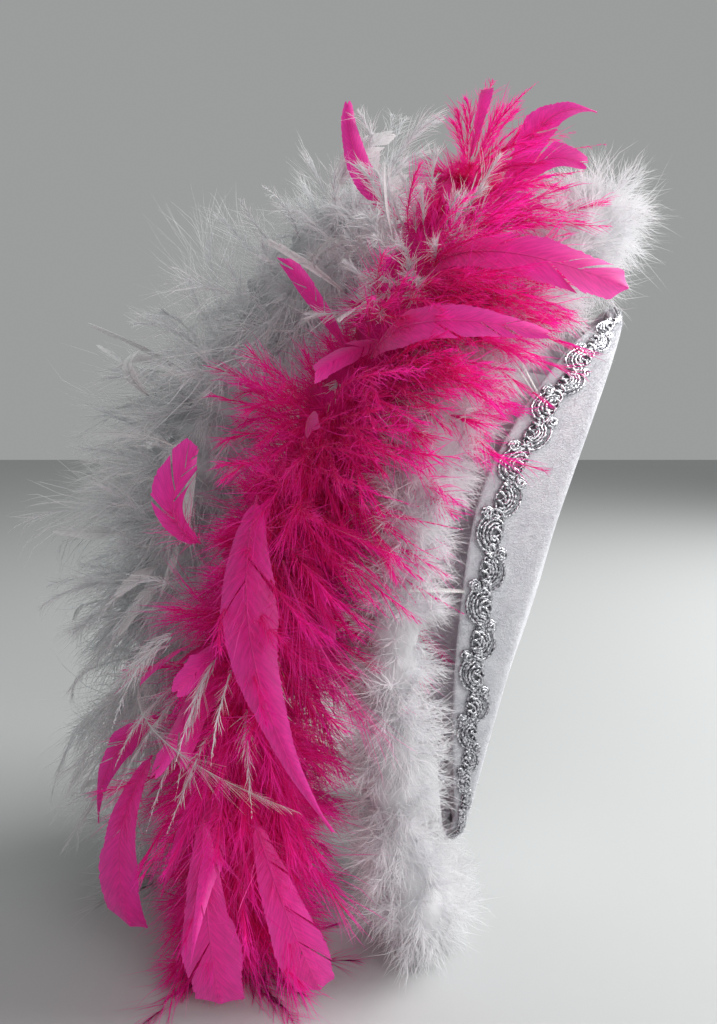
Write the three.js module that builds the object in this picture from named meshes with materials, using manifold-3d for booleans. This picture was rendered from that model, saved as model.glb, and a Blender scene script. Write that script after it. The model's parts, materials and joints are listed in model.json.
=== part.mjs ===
// Carnival headpiece: a two-cornered white felt hat with a braided brim and three sewn-on boas.
// Millimetres, +Z up. The hat lies on end, on its lower corner and its feathers.
//
// Hat frame, before the hat is tilted into place:
//   X runs corner to corner, Y front to back (the front flap is at -Y), Z out of the opening
//   towards the top of the crown.
import * as THREE from "three";
import { mergeVertices } from "three/addons/utils/BufferGeometryUtils.js";
import { LoftGeometry } from "three/addons/geometries/LoftGeometry.js";
import Module from "manifold-3d";

const wasm = await Module();
wasm.setup();

// ---------------------------------------------------------------- driving dimensions
const LEAN = 16; // degrees from upright of the line through the two corners
const RISE = 160; // middle of that line above the surface underneath
const GAP = 0.4; // clearance between neighbouring pieces

const FELT = 3; // wool felt thickness
const HAT_HALF_LENGTH = 142; // middle to corner
const CORNER_DIP = 20; // how far the corners hang below the middle of the brim
const FOLD_HALF_WIDTH = 76; // middle to the brim's fold, front or back
const FLAP_FLARE = 8; // how far a flap's edge leans out past its fold
const FLAP_HEIGHT = 34; // tallest part of a flap, fold to edge
const FLAP_OUTLINE = [[-1, 0], [-0.6, 0.36], [-0.1, 0.77], [0.35, 1], [0.8, 0.6], [1, 0]];
const FLAP_LEAST = 6; // height left at a corner, where the flaps are sewn together
const FULLNESS = 1.2; // 1 gives an elliptical brim outline, more gives sharper corners

const OPENING_HALF = [100, 66]; // inside the brim, along X and Y
const CROWN_EASE = 1; // what the crown stands clear of the opening's edge, and of the brim
const CROWN_HEIGHT = 100; // rim to top, outside
const BRIM_SEAT = 16; // brim's inner edge above the corners
const CROWN_SEAT = BRIM_SEAT + FELT + CROWN_EASE; // crown rim: clears the sloping brim
const CROWN_HALF = OPENING_HALF.map((half) => half + FELT + CROWN_EASE); // outside, X and Y

const RIBBON = 1.4; // sweatband thickness
const RIBBON_WIDTH = 25;
const SATIN = 0.8;

const BRAID_WIDTH = 16;
const BRAID_THICK = 1.6;
const BRAID_SHARE = 0.75; // most of a flap's height that the braid may cover

const CORD_RADIUS = 1.8; // twisted core cord of a boa
const CORD_CLEAR = 1.4; // room round a cord where the down starts
const CORD_LIFT = 8; // a cord that runs down ends this far above the surface underneath
const TIE_GAP = 2.8; // parting of the down where a tie passes
const TIE_RADIUS = 0.6;

const QUILL = 1; // half the width of a plume's bare root
const PLUME_THICK = 1; // blade thickness

// A boa's route through the hat frame, with the radius of its down at each point.
const MARABOU = {
  stretches: 8,
  steps: 4,
  route: [
    [-163, -3, 3, 17], [-159, -48, 10, 22], [-147, -80, 26, 28], [-93, -85, 53, 27],
    [-50, -96, 67, 26], [0, -97, 78, 25], [42, -95, 80, 25], [85, -86, 74, 25],
    [130, -60, 54, 28], [166, -40, 34, 32], [183, 0, 27, 33], [166, 40, 34, 32],
    [130, 60, 54, 28], [85, 86, 74, 25], [42, 95, 80, 25], [0, 97, 78, 25],
    [-50, 96, 67, 26], [-93, 85, 53, 27], [-147, 80, 26, 28], [-159, 48, 10, 22],
    [-163, 3, 3, 17],
  ],
};
const PINK = {
  stretches: 5,
  steps: 4,
  route: [
    [188, -10, 92, 22], [130, -28, 97, 25], [85, -45, 110, 28], [35, -57, 127, 32],
    [-25, -66, 133, 34], [-90, -72, 124, 37], [-145, -74, 114, 34], [-202, -76, 99, 31],
  ],
};
const WHITE = {
  stretches: 4,
  steps: 5,
  route: [
    [168, 22, 132, 25], [106, 16, 160, 44], [50, 15, 176, 51], [-11, 15, 182, 53],
    [-76, 15, 174, 51], [-140, 12, 152, 44], [-206, 12, 118, 38],
  ],
};
// Joints between stretches where a tie holds the cord to the hat, counted from the route's start.
const MARABOU_TIES = [2, 3, 5, 6];
const PINK_TIES = [2, 3];
const WHITE_TIES = [2, 3];

// Plumes, in the hat frame: the share of the boa's route where the quill is caught, the way it
// comes out of the down where that isn't straight towards the tip, the tip, the bulge of the curve
// between, the blade's width and the way it faces.
const PINK_PLUMES = [
  { at: 0.1, tip: [198, -15, 158], bulge: [-4, 0, 5], wide: 13, face: [0, -1, 0.3] },
  { at: 0.02, tip: [218, -38, 47], bulge: [8, -6, 6], wide: 17, face: [0.2, -1, 0] },
  { at: 0.07, tip: [187, -62, 50], bulge: [6, -8, 6], wide: 14, face: [0, -1, 0.2] },
  {
    at: 0.19, exit: [0, -1, 0.1], tip: [134, -102, 26], bulge: [4, -18, 16], wide: 20,
    face: [0.1, -0.6, 0.8],
  },
  {
    at: 0.3, exit: [0, -1, 0.1], tip: [106, -120, 55], bulge: [4, -14, 14], wide: 16,
    face: [0.1, -0.6, 0.8],
  },
  { at: 0.53, tip: [27, -88, 172], bulge: [-6, -8, 8], wide: 20, face: [0.2, -1, 0.2] },
  {
    at: 0.47, exit: [-0.2, -1, 0.4], tip: [-99, -124, 78], bulge: [-2, -12, 14], wide: 30,
    face: [0.1, -1, 0.2],
  },
  {
    at: 0.52, exit: [0, -1, -0.2], tip: [-56, -130, 68], bulge: [2, -8, 6], wide: 18,
    face: [0, -1, 0.1],
  },
  { at: 0.72, tip: [-157, -62, 177], bulge: [6, -6, 8], wide: 15, face: [0.2, -1, 0] },
  { at: 0.75, tip: [-186, -86, 148], bulge: [4, -8, 8], wide: 20, face: [0.3, -1, 0.1] },
  {
    at: 0.78, exit: [-0.2, -1, 0.2], tip: [-189, -114, 101], bulge: [4, -6, 2], wide: 26,
    face: [0.2, -1, 0],
  },
  {
    at: 0.78, exit: [-0.2, -1, -0.4], tip: [-176, -108, 62], bulge: [4, -8, 2], wide: 24,
    face: [0.2, -1, -0.2],
  },
];
const WHITE_PLUMES = [
  { at: 0.05, tip: [195, -2, 135], bulge: [0, -4, 4], wide: 14, face: [0, -1, 0.2] },
  { at: 0.18, tip: [130, -48, 140], bulge: [8, -6, 4], wide: 12, face: [0, -1, 0.3] },
  { at: 0.36, tip: [60, -36, 218], bulge: [0, -8, 6], wide: 8, face: [0.2, -1, 0.2] },
  {
    at: 0.4, exit: [0, -1, 0.1], tip: [12, -44, 236], bulge: [6, -6, 0], wide: 12,
    face: [0.3, -1, 0],
  },
  {
    at: 0.66, exit: [0, -1, 0], tip: [-94, -126, 93], bulge: [2, -24, 26], wide: 12,
    face: [0.2, -0.8, 0.8],
  },
  { at: 0.77, tip: [-170, -46, 142], bulge: [6, -6, 6], wide: 14, face: [0.2, -1, 0.2] },
];

// ---------------------------------------------------------------- materials
const finish = (color, roughness, metalness = 0) =>
  new THREE.MeshStandardMaterial({ color, roughness, metalness });
const FINISH = {
  felt: () => finish(0xf2f1f4, 0.95),
  ribbon: () => finish(0xe9e7e2, 0.8),
  satin: () => finish(0xf4f1ea, 0.45),
  braid: () => finish(0xc9cbd0, 0.3, 0.9),
  whiteDown: () => finish(0xf6f5f4, 1),
  pinkDown: () => finish(0xe22a86, 0.95),
  whiteCord: () => finish(0xeceae6, 0.9),
  pinkCord: () => finish(0xb01a58, 0.9),
  thread: () => finish(0xf0eeea, 0.7),
};

// ---------------------------------------------------------------- helpers
const V = (p) => new THREE.Vector3(...p);
const DOWN_SIDES = 12;
const HOLE_SIDES = 8;
const TIE_STEPS = 24;
const FOOT_TRIES = 360; // points along a flap's edge tried as the foot of a tie

// A closed geometry as a manifold-3d solid.
function solid(geometry) {
  const bare = new THREE.BufferGeometry().copy(geometry);
  bare.deleteAttribute("normal");
  bare.deleteAttribute("uv");
  const merged = mergeVertices(bare);
  const vertProperties = merged.attributes.position.array;
  const triVerts = new Uint32Array(merged.index.array);
  return new wasm.Manifold(new wasm.Mesh({ numProp: 3, vertProperties, triVerts }));
}

// A manifold-3d solid back as a geometry.
function geometryOf(body) {
  const mesh = body.getMesh();
  const geometry = new THREE.BufferGeometry();
  geometry.setAttribute("position", new THREE.BufferAttribute(mesh.vertProperties, 3));
  geometry.setIndex(new THREE.BufferAttribute(mesh.triVerts, 1));
  geometry.computeVertexNormals();
  return geometry;
}

// A closed body through a row of rings, wound so that its faces point out.
function loft(sections) {
  const middleOf = (points) => points.reduce((sum, p) => sum.add(p), V([0, 0, 0]))
    .divideScalar(points.length);
  const [first, second] = sections;
  const middle = middleOf(first);
  const turn = V([0, 0, 0]);
  first.forEach((p, k) => {
    const next = first[(k + 1) % first.length];
    turn.add(p.clone().sub(middle).cross(next.clone().sub(middle)));
  });
  const forward = turn.dot(middleOf(second).sub(middle)) > 0;
  const rings = forward ? sections : sections.map((points) => [...points].reverse());
  return new LoftGeometry(rings, { capStart: true, capEnd: true });
}

function piece(name, geometry, material) {
  const mesh = new THREE.Mesh(geometry, material);
  mesh.name = name;
  return mesh;
}

// Turns the hat frame into the standing pose.
const standing = new THREE.Matrix4()
  .makeRotationY(THREE.MathUtils.degToRad(LEAN - 90))
  .setPosition(0, 0, RISE);

// Everything below a height over the surface the headpiece stands on, in the hat frame.
const UNDER = 400;
const below = (height) => solid(
  new THREE.BoxGeometry(3 * UNDER, 3 * UNDER, UNDER)
    .translate(0, 0, height - UNDER / 2)
    .applyMatrix4(standing.clone().invert()),
);
const underfoot = below(0);

// A ring of points round a centre, in the plane square to a direction, counted from the front.
function ring(centre, along, radius, sides) {
  const front = new THREE.Vector3(0, -1, 0).addScaledVector(along, along.y).normalize();
  const side = new THREE.Vector3().crossVectors(along, front);
  return Array.from({ length: sides }, (_, k) => {
    const angle = (2 * Math.PI * k) / sides;
    return centre.clone()
      .addScaledVector(front, radius * Math.cos(angle))
      .addScaledVector(side, radius * Math.sin(angle));
  });
}

// ---------------------------------------------------------------- felt hat
const flapOutline = new THREE.SplineCurve(FLAP_OUTLINE.map(([x, y]) => new THREE.Vector2(x, y)));

// Height of a flap over its fold, where x runs from -1 at one corner to 1 at the other.
function flapHeight(x) {
  let low = 0, high = 1;
  for (let i = 0; i < 30; i++) {
    const mid = (low + high) / 2;
    if (flapOutline.getPoint(mid).x < x) low = mid;
    else high = mid;
  }
  return Math.max(FLAP_LEAST, FLAP_HEIGHT * flapOutline.getPoint(low).y);
}

// Points on the middle of the felt at an angle round the brim: -90 and 90 degrees are the corners.
function brimPoints(angle, side) {
  const across = Math.cos(angle), along = Math.sin(angle);
  const out = side * across ** FULLNESS;
  const foldHeight = CORNER_DIP * across ** 2;
  const inner = V([OPENING_HALF[0] * along, side * OPENING_HALF[1] * across, BRIM_SEAT]);
  const fold = V([HAT_HALF_LENGTH * along, FOLD_HALF_WIDTH * out, foldHeight]);
  const edge = V([
    HAT_HALF_LENGTH * along,
    (FOLD_HALF_WIDTH + FLAP_FLARE) * out,
    foldHeight + flapHeight(along),
  ]);
  return { inner, fold, edge };
}

const BRIM_STATIONS = 28;
const BRIM_END = 88.5; // degrees: the last station before the seam at a corner
const brimAngles = Array.from({ length: BRIM_STATIONS + 1 }, (_, k) =>
  THREE.MathUtils.degToRad(BRIM_END * ((2 * k) / BRIM_STATIONS - 1)));

// Unit vector along the brim at an angle, and the one square to it and to a line across the felt.
function brimAlong(angle, side) {
  const step = 0.01;
  const next = brimPoints(angle + step, side).fold;
  return next.sub(brimPoints(angle - step, side).fold).normalize();
}
const faceOf = (across, along) => new THREE.Vector3().crossVectors(across, along).normalize();

// Where the felt bends, as shares of the way under the hat and of the way up the flap.
const UNDER_SHARES = [0, 0.5, 0.88];
const FLAP_SHARES = [0.06, 0.3, 1];

// One station of the brim: under the hat from the opening to the fold, and up the flap.
function brimSection(angle, side) {
  const { inner, fold, edge } = brimPoints(angle, side);
  const along = brimAlong(angle, side).multiplyScalar(side);
  const middle = [
    ...UNDER_SHARES.map((share) => inner.clone().lerp(fold, share)),
    ...FLAP_SHARES.map((share) => fold.clone().lerp(edge, share)),
  ];
  const offset = (share) => middle.map((point, k) => {
    const before = middle[Math.max(0, k - 1)], after = middle[Math.min(middle.length - 1, k + 1)];
    return point.clone().addScaledVector(faceOf(after.clone().sub(before), along), share * FELT);
  });
  return [...offset(0.5), ...offset(-0.5).reverse()];
}

function brim(name, side) {
  return piece(name, loft(brimAngles.map((angle) => brimSection(angle, side))), FINISH.felt());
}

// Half of an egg-shaped solid over the opening, inset from the outside of the crown.
function dome(inset, sides, rings) {
  const shape = new THREE.SphereGeometry(1, sides, rings)
    .rotateX(Math.PI / 2)
    .scale(CROWN_HALF[0] - inset, CROWN_HALF[1] - inset, CROWN_HEIGHT - inset)
    .translate(0, 0, CROWN_SEAT);
  return solid(shape);
}
function slab(low, high) {
  const box = new THREE.BoxGeometry(4 * HAT_HALF_LENGTH, 4 * HAT_HALF_LENGTH, high - low);
  return solid(box.translate(0, 0, (low + high) / 2));
}
const CROWN_SIDES = 28;
const CROWN_RINGS = 14;
const CROWN_TOP = CROWN_SEAT + CROWN_HEIGHT;
const BAND_LOW = CROWN_SEAT + GAP;
const BAND_HIGH = BAND_LOW + RIBBON_WIDTH;

function crownShell() {
  const shell = dome(0, CROWN_SIDES, CROWN_RINGS).subtract(dome(FELT, CROWN_SIDES, CROWN_RINGS));
  return piece("crown_shell", geometryOf(shell.intersect(slab(CROWN_SEAT, CROWN_TOP + 1))),
    FINISH.felt());
}
function insideSkin(name, thickness, low, high, material) {
  const skin = dome(FELT + GAP, CROWN_SIDES, CROWN_RINGS)
    .subtract(dome(FELT + GAP + thickness, CROWN_SIDES, CROWN_RINGS));
  return piece(name, geometryOf(skin.intersect(slab(low, high))), material);
}

// Gimp braid along the top of a flap's outer face.
function braid(name, side) {
  const sections = brimAngles.map((angle) => {
    const { fold, edge } = brimPoints(angle, side);
    const along = brimAlong(angle, side).multiplyScalar(side);
    const up = edge.clone().sub(fold);
    const width = Math.min(BRAID_WIDTH, BRAID_SHARE * up.length());
    const out = faceOf(up, along);
    const foot = edge.clone().addScaledVector(up.normalize(), -width);
    const near = FELT / 2 + GAP, far = near + BRAID_THICK;
    return [
      edge.clone().addScaledVector(out, near), foot.clone().addScaledVector(out, near),
      foot.clone().addScaledVector(out, far), edge.clone().addScaledVector(out, far),
    ];
  });
  return piece(name, loft(sections), FINISH.braid());
}

// ---------------------------------------------------------------- boas
// A boa's stations: evenly spaced centres along its route, with direction and down radius.
class Boa {
  constructor({ route, stretches, steps }) {
    this.curve = new THREE.CatmullRomCurve3(route.map(([x, y, z]) => V([x, y, z])));
    this.radii = new THREE.CatmullRomCurve3(route.map((p, k) => V([k, p[3], 0])));
    this.stretches = stretches;
    this.steps = steps;
    this.count = stretches * steps;
    this.centres = this.curve.getSpacedPoints(this.count);
    this.alongs = this.centres.map((_, k) => this.curve.getTangentAt(k / this.count));
  }

  // Radius of the down at a share of the route's length.
  radiusAt(share) {
    return this.radii.getPoint(this.curve.getUtoTmapping(share)).y;
  }

  // Centre, direction and radius at a station number, which may lie between two stations.
  station(number) {
    const low = Math.min(Math.floor(number), this.count - 1), part = number - low;
    return {
      centre: this.centres[low].clone().lerp(this.centres[low + 1], part),
      along: this.alongs[low].clone().lerp(this.alongs[low + 1], part).normalize(),
      radius: this.radiusAt(number / this.count),
    };
  }

  // Station numbers of one stretch, drawn in at both ends for the ties.
  numbers(stretch) {
    const inset = (TIE_GAP / 2) / (this.curve.getLength() / this.count);
    const first = stretch * this.steps, last = first + this.steps;
    const inner = Array.from({ length: this.steps - 1 }, (_, k) => first + k + 1);
    return [first + inset, ...inner, last - inset];
  }

  // The down of one stretch: a fat sleeve round the cord, flat where it rests on the surface.
  down(stretch) {
    const stations = this.numbers(stretch).map((n) => this.station(n));
    const sleeve = solid(loft(stations.map((s) => ring(s.centre, s.along, s.radius, DOWN_SIDES))));
    stations[0].centre.addScaledVector(stations[0].along, -1);
    stations.at(-1).centre.addScaledVector(stations.at(-1).along, 1);
    const bore = CORD_RADIUS + CORD_CLEAR;
    const hole = solid(loft(stations.map((s) => ring(s.centre, s.along, bore, HOLE_SIDES))));
    return sleeve.subtract(hole).subtract(underfoot);
  }

  downs(name, material) {
    return Array.from({ length: this.stretches }, (_, k) =>
      piece(`${name}_${k + 1}`, geometryOf(this.down(k)), material()));
  }

  cord(name, material) {
    const circle = new THREE.Shape().absarc(0, 0, CORD_RADIUS, 0, 2 * Math.PI);
    const shape = new THREE.ExtrudeGeometry(circle, {
      steps: this.count, curveSegments: 4, extrudePath: this.curve, bevelEnabled: false,
    });
    const runsDown = this.centres.some((c) => c.clone().applyMatrix4(standing).z < 0);
    const body = runsDown ? solid(shape).subtract(below(CORD_LIFT)) : solid(shape);
    return piece(name, geometryOf(body), material);
  }

  // A loop of thread round the cord at a joint between stretches, with both ends at a foot point.
  tie(name, joint, footOf) {
    const { centre, along } = this.station(joint * this.steps);
    const foot = footOf(centre, along);
    const reach = foot.clone().sub(centre);
    reach.addScaledVector(along, -reach.dot(along));
    const length = reach.length();
    const toward = reach.normalize();
    const side = new THREE.Vector3().crossVectors(along, toward);
    const clear = CORD_RADIUS + TIE_RADIUS + GAP;
    const at = (u, v) => centre.clone().addScaledVector(toward, u).addScaledVector(side, v);
    const spread = TIE_RADIUS + GAP;
    const path = new THREE.CatmullRomCurve3([
      at(length, spread), at(length / 2, clear / 2 + spread / 2), at(1, clear),
      at(-clear * 0.75, clear * 0.75),
      at(-clear, 0), at(-clear * 0.75, -clear * 0.75), at(1, -clear),
      at(length / 2, -clear / 2 - spread / 2), at(length, -spread),
    ]);
    // Equal steps between the chosen points, so that the loop is as round as the legs are long.
    path.getPointAt = (u, target) => path.getPoint(u, target);
    path.getTangentAt = (u, target) => path.getTangent(u, target);
    const circle = new THREE.Shape().absarc(0, 0, TIE_RADIUS, 0, 2 * Math.PI);
    return piece(name, new THREE.ExtrudeGeometry(circle, {
      steps: TIE_STEPS, curveSegments: 3, extrudePath: path, bevelEnabled: false,
    }), FINISH.thread());
  }
}

// Foot of a brim tie: the flap edge point that lies in the plane of the loop.
function flapFoot(centre, along) {
  const side = Math.sign(centre.y);
  const edges = Array.from({ length: FOOT_TRIES + 1 }, (_, k) =>
    brimPoints(THREE.MathUtils.degToRad(BRIM_END * ((2 * k) / FOOT_TRIES - 1)), side));
  const off = ({ edge }) => Math.abs(edge.clone().sub(centre).dot(along));
  const { fold, edge } = edges.reduce((best, next) => (off(next) < off(best) ? next : best));
  const up = edge.clone().sub(fold).normalize();
  return edge.clone().addScaledVector(up, TIE_RADIUS + GAP);
}

// Foot of a crown tie: where the line from the cord to the crown's middle meets the felt.
function crownFoot(centre, along) {
  const size = V([...CROWN_HALF, CROWN_HEIGHT]);
  const middle = V([centre.x, 0, CROWN_SEAT]);
  const toward = middle.sub(centre);
  toward.addScaledVector(along, -toward.dot(along)).normalize();
  const inside = (t) => {
    const p = centre.clone().addScaledVector(toward, t).sub(V([0, 0, CROWN_SEAT])).divide(size);
    return p.length() < 1;
  };
  let reach = 0;
  while (!inside(reach) && reach < HAT_HALF_LENGTH) reach += 0.25;
  return centre.clone().addScaledVector(toward, reach - 2 * TIE_RADIUS - GAP);
}

// ---------------------------------------------------------------- plumes
const PLUME_STEPS = 9;
const PLUME_OUTLINE = [0.12, 0.5, 0.85, 1, 1, 0.95, 0.85, 0.7, 0.45, 0.1];

// One feather: a bare quill where it leaves the down, then a thin curved blade.
function plume(name, boa, { at, exit, tip, bulge, wide, face }, material) {
  const { centre, along, radius } = boa.station(at * boa.count);
  const end = V(tip);
  const out = exit ? V(exit) : end.clone().sub(centre);
  const square = out.clone().addScaledVector(along, -out.dot(along)).normalize();
  const start = centre.clone().addScaledVector(square, radius + QUILL + GAP);
  const control = start.clone().lerp(end, 0.5).add(V(bulge).multiplyScalar(2));
  const spine = new THREE.QuadraticBezierCurve3(start, control, end);
  const sections = PLUME_OUTLINE.map((share, k) => {
    const u = k / PLUME_STEPS;
    const run = spine.getTangent(u);
    const side = new THREE.Vector3().crossVectors(run, V(face)).normalize();
    const front = new THREE.Vector3().crossVectors(side, run);
    const half = Math.max(QUILL, (share * wide) / 2);
    const point = (a, b) => spine.getPoint(u)
      .addScaledVector(side, a * half).addScaledVector(front, (b * PLUME_THICK) / 2);
    return [point(1, 0), point(0, 1), point(-1, 0), point(0, -1)];
  });
  return piece(name, loft(sections), material);
}

// ---------------------------------------------------------------- assembly
const hat = new THREE.Group();
hat.add(
  crownShell(),
  brim("brim_front", -1),
  brim("brim_back", 1),
  insideSkin("sweatband", RIBBON, BAND_LOW, BAND_HIGH, FINISH.ribbon()),
  insideSkin("crown_lining", SATIN, BAND_HIGH + GAP, CROWN_TOP, FINISH.satin()),
  braid("braid_front", -1),
  braid("braid_back", 1),
);

const marabou = new Boa(MARABOU), pink = new Boa(PINK), white = new Boa(WHITE);
hat.add(
  marabou.cord("marabou_cord", FINISH.whiteCord()),
  ...marabou.downs("marabou_down", FINISH.whiteDown),
  ...MARABOU_TIES.map((joint, k) => marabou.tie(`marabou_tie_${k + 1}`, joint, flapFoot)),
  pink.cord("pink_cord", FINISH.pinkCord()),
  ...pink.downs("pink_down", FINISH.pinkDown),
  ...PINK_TIES.map((joint, k) => pink.tie(`pink_tie_${k + 1}`, joint, crownFoot)),
  ...PINK_PLUMES.map((p, k) => plume(`pink_plume_${k + 1}`, pink, p, FINISH.pinkDown())),
  white.cord("white_cord", FINISH.whiteCord()),
  ...white.downs("white_down", FINISH.whiteDown),
  ...WHITE_TIES.map((joint, k) => white.tie(`white_tie_${k + 1}`, joint, crownFoot)),
  ...WHITE_PLUMES.map((p, k) => plume(`white_plume_${k + 1}`, white, p, FINISH.whiteDown())),
);

// The origin is on the surface, under the middle of the whole headpiece.
hat.applyMatrix4(standing);
hat.updateMatrixWorld(true);
const size = new THREE.Box3().setFromObject(hat, true);
hat.position.x -= (size.min.x + size.max.x) / 2;
hat.position.y -= (size.min.y + size.max.y) / 2;

const headpiece = new THREE.Group();
headpiece.add(hat);
export default headpiece;
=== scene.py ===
"""Two-cornered felt carnival headpiece with three feather boas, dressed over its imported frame.

Blender works in metres with +Z up. The makers' sizes below are millimetres in the hat's own frame:
x runs corner to corner, y from the front flap to the back one, z out of the head opening towards
the top of the crown. HatFrame carries them into place.
"""

import json
import logging
import math
from dataclasses import dataclass, field, replace
from enum import Enum

import bpy
import numpy as np
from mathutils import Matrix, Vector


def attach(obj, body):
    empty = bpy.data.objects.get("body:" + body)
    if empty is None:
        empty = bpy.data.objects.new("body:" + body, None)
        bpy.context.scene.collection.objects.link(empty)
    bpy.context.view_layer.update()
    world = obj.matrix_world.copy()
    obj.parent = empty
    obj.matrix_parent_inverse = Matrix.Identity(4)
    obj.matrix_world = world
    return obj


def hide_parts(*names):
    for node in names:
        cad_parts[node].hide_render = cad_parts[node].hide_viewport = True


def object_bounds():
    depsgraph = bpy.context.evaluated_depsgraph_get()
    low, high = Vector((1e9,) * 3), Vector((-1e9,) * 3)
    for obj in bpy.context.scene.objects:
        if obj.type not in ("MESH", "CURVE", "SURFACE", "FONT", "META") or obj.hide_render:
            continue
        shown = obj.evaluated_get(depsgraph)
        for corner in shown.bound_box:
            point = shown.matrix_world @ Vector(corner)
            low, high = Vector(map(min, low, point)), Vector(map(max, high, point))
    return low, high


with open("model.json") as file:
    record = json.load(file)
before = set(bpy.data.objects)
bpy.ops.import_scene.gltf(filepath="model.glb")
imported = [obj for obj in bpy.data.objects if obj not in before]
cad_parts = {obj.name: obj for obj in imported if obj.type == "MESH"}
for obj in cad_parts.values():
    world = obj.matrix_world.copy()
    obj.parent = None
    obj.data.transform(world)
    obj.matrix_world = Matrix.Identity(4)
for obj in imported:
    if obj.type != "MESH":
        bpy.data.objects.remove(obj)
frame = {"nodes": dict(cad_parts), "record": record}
CAD_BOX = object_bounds()

log = logging.getLogger("headpiece")
Array = np.ndarray
Point = tuple[float, float, float]
ROOT_BODY = "headpiece"
UV_NAME = "OFBake"
SPAN_SAMPLES = 60  # samples from one point of a boa's route to the next
DOWN_HEIGHT = 3.0  # least height of a down feather's foot over the surface, mm
FLAT_HEIGHT = 10.0  # the same for a small flat feather
END_HEIGHT = 2.0  # least height of a feather's tip
FULL_RADIUS = 28.0  # radius of a boa whose barbs have their full size, mm


# ---------------------------------------------------------------- shapes from arrays
def unit(vectors: Array) -> Array:
    """Vectors scaled to length one along their last axis."""
    return vectors / np.maximum(np.linalg.norm(vectors, axis=-1, keepdims=True), 1e-9)


def spline(points: Array, per_span: int) -> Array:
    """A smooth line through points: centripetal Catmull-Rom, so knots lie apart by root distance.

    Args:
        points: Points the line passes through, one a row.
        per_span: Samples from each point to the next.

    Returns:
        Samples along the line, one a row, ends included.
    """
    before, after = 2 * points[0] - points[1], 2 * points[-1] - points[-2]
    row = np.vstack([before, points, after])
    p0, p1, p2, p3 = row[:-3], row[1:-2], row[2:-1], row[3:]

    def gap(a: Array, b: Array) -> Array:
        """Root of the distance between points."""
        return np.sqrt(np.linalg.norm(b - a, axis=1, keepdims=True)) + 1e-9

    d0, d1, d2 = gap(p0, p1), gap(p1, p2), gap(p2, p3)
    m1 = ((p1 - p0) / d0 - (p2 - p0) / (d0 + d1) + (p2 - p1) / d1) * d1
    m2 = ((p2 - p1) / d1 - (p3 - p1) / (d1 + d2) + (p3 - p2) / d2) * d1
    t = np.linspace(0, 1, per_span, endpoint=False)[None, :, None]
    p1, p2, m1, m2 = (v[:, None, :] for v in (p1, p2, m1, m2))
    hermite = (
        (2 * t**3 - 3 * t**2 + 1) * p1
        + (t**3 - 2 * t**2 + t) * m1
        + (3 * t**2 - 2 * t**3) * p2
        + (t**3 - t**2) * m2
    )
    return np.vstack([hermite.reshape(-1, points.shape[1]), points[-1:]])


def grid_faces(rows: int, columns: int, closed: bool = True) -> Array:
    """Triangles of a grid of points, row by row, that close round its columns if asked."""
    wide = columns if closed else columns - 1
    r, c = np.meshgrid(np.arange(rows - 1), np.arange(wide), indexing="ij")
    a, b = r * columns + c, r * columns + (c + 1) % columns
    quads = np.stack([a, b, b + columns, a + columns], -1).reshape(-1, 4)
    return np.concatenate([quads[:, [0, 1, 2]], quads[:, [0, 2, 3]]])


@dataclass
class Shape:
    """Points in the hat's frame, triangles, and a place in the pattern for each point."""

    points: Array
    faces: Array
    uv: Array

    @staticmethod
    def joined(shapes: list["Shape"]) -> "Shape":
        """Several shapes as one, each with its own points."""
        starts = np.cumsum([0] + [len(s.points) for s in shapes[:-1]])
        return Shape(
            np.concatenate([s.points for s in shapes]),
            np.concatenate([s.faces + n for s, n in zip(shapes, starts)]),
            np.concatenate([s.uv for s in shapes]),
        )


def tube(line: Array, radii: Array, sides: int, column: float = 0.5, twist: float = 0.0) -> Shape:
    """A round cord along a line: at each sample a circle square to the line, capped at both ends.

    The circle's radius is multiplied by 1 + 0.22 cos(2a - twist s), where a is the angle round
    the cord and s the length along it, which gives two twisted plies where twist isn't 0.

    Args:
        line: Centre line, one sample a row.
        radii: Radius at each sample.
        sides: Points round the cord.
        column: Where the cord's colour is read across the pattern.
        twist: Turn of the plies, in radians for each millimetre.

    Returns:
        The closed cord.
    """
    run = unit(np.gradient(line, axis=0))
    guide = np.where(np.abs(run[:, 1:2]) > 0.8, [[1.0, 0.0, 0.0]], [[0.0, 1.0, 0.0]])
    side = unit(np.cross(run, guide))
    up = np.cross(side, run)
    angle = np.linspace(0, 2 * np.pi, sides, endpoint=False)[None, :, None]
    length = np.concatenate([[0], np.cumsum(np.linalg.norm(np.diff(line, axis=0), axis=1))])
    plies = 1 + (0.22 * np.cos(2 * angle[..., 0] - twist * length[:, None]) if twist else 0)
    spoke = np.cos(angle) * side[:, None] + np.sin(angle) * up[:, None]
    points = line[:, None] + spoke * (radii[:, None] * plies)[..., None]
    rows = len(line)
    faces = grid_faces(rows, sides)[:, ::-1]
    ends = np.arange(1, sides - 1)
    low = np.stack([np.zeros_like(ends), ends, ends + 1], 1)
    high = np.stack([np.zeros_like(ends), ends + 1, ends], 1) + (rows - 1) * sides
    uv = np.stack(
        np.broadcast_arrays(column, np.linspace(0, 1, rows)[:, None] + 0 * angle[..., 0]), -1
    )
    return Shape(points.reshape(-1, 3), np.concatenate([faces, low, high]), uv.reshape(-1, 2))


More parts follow.
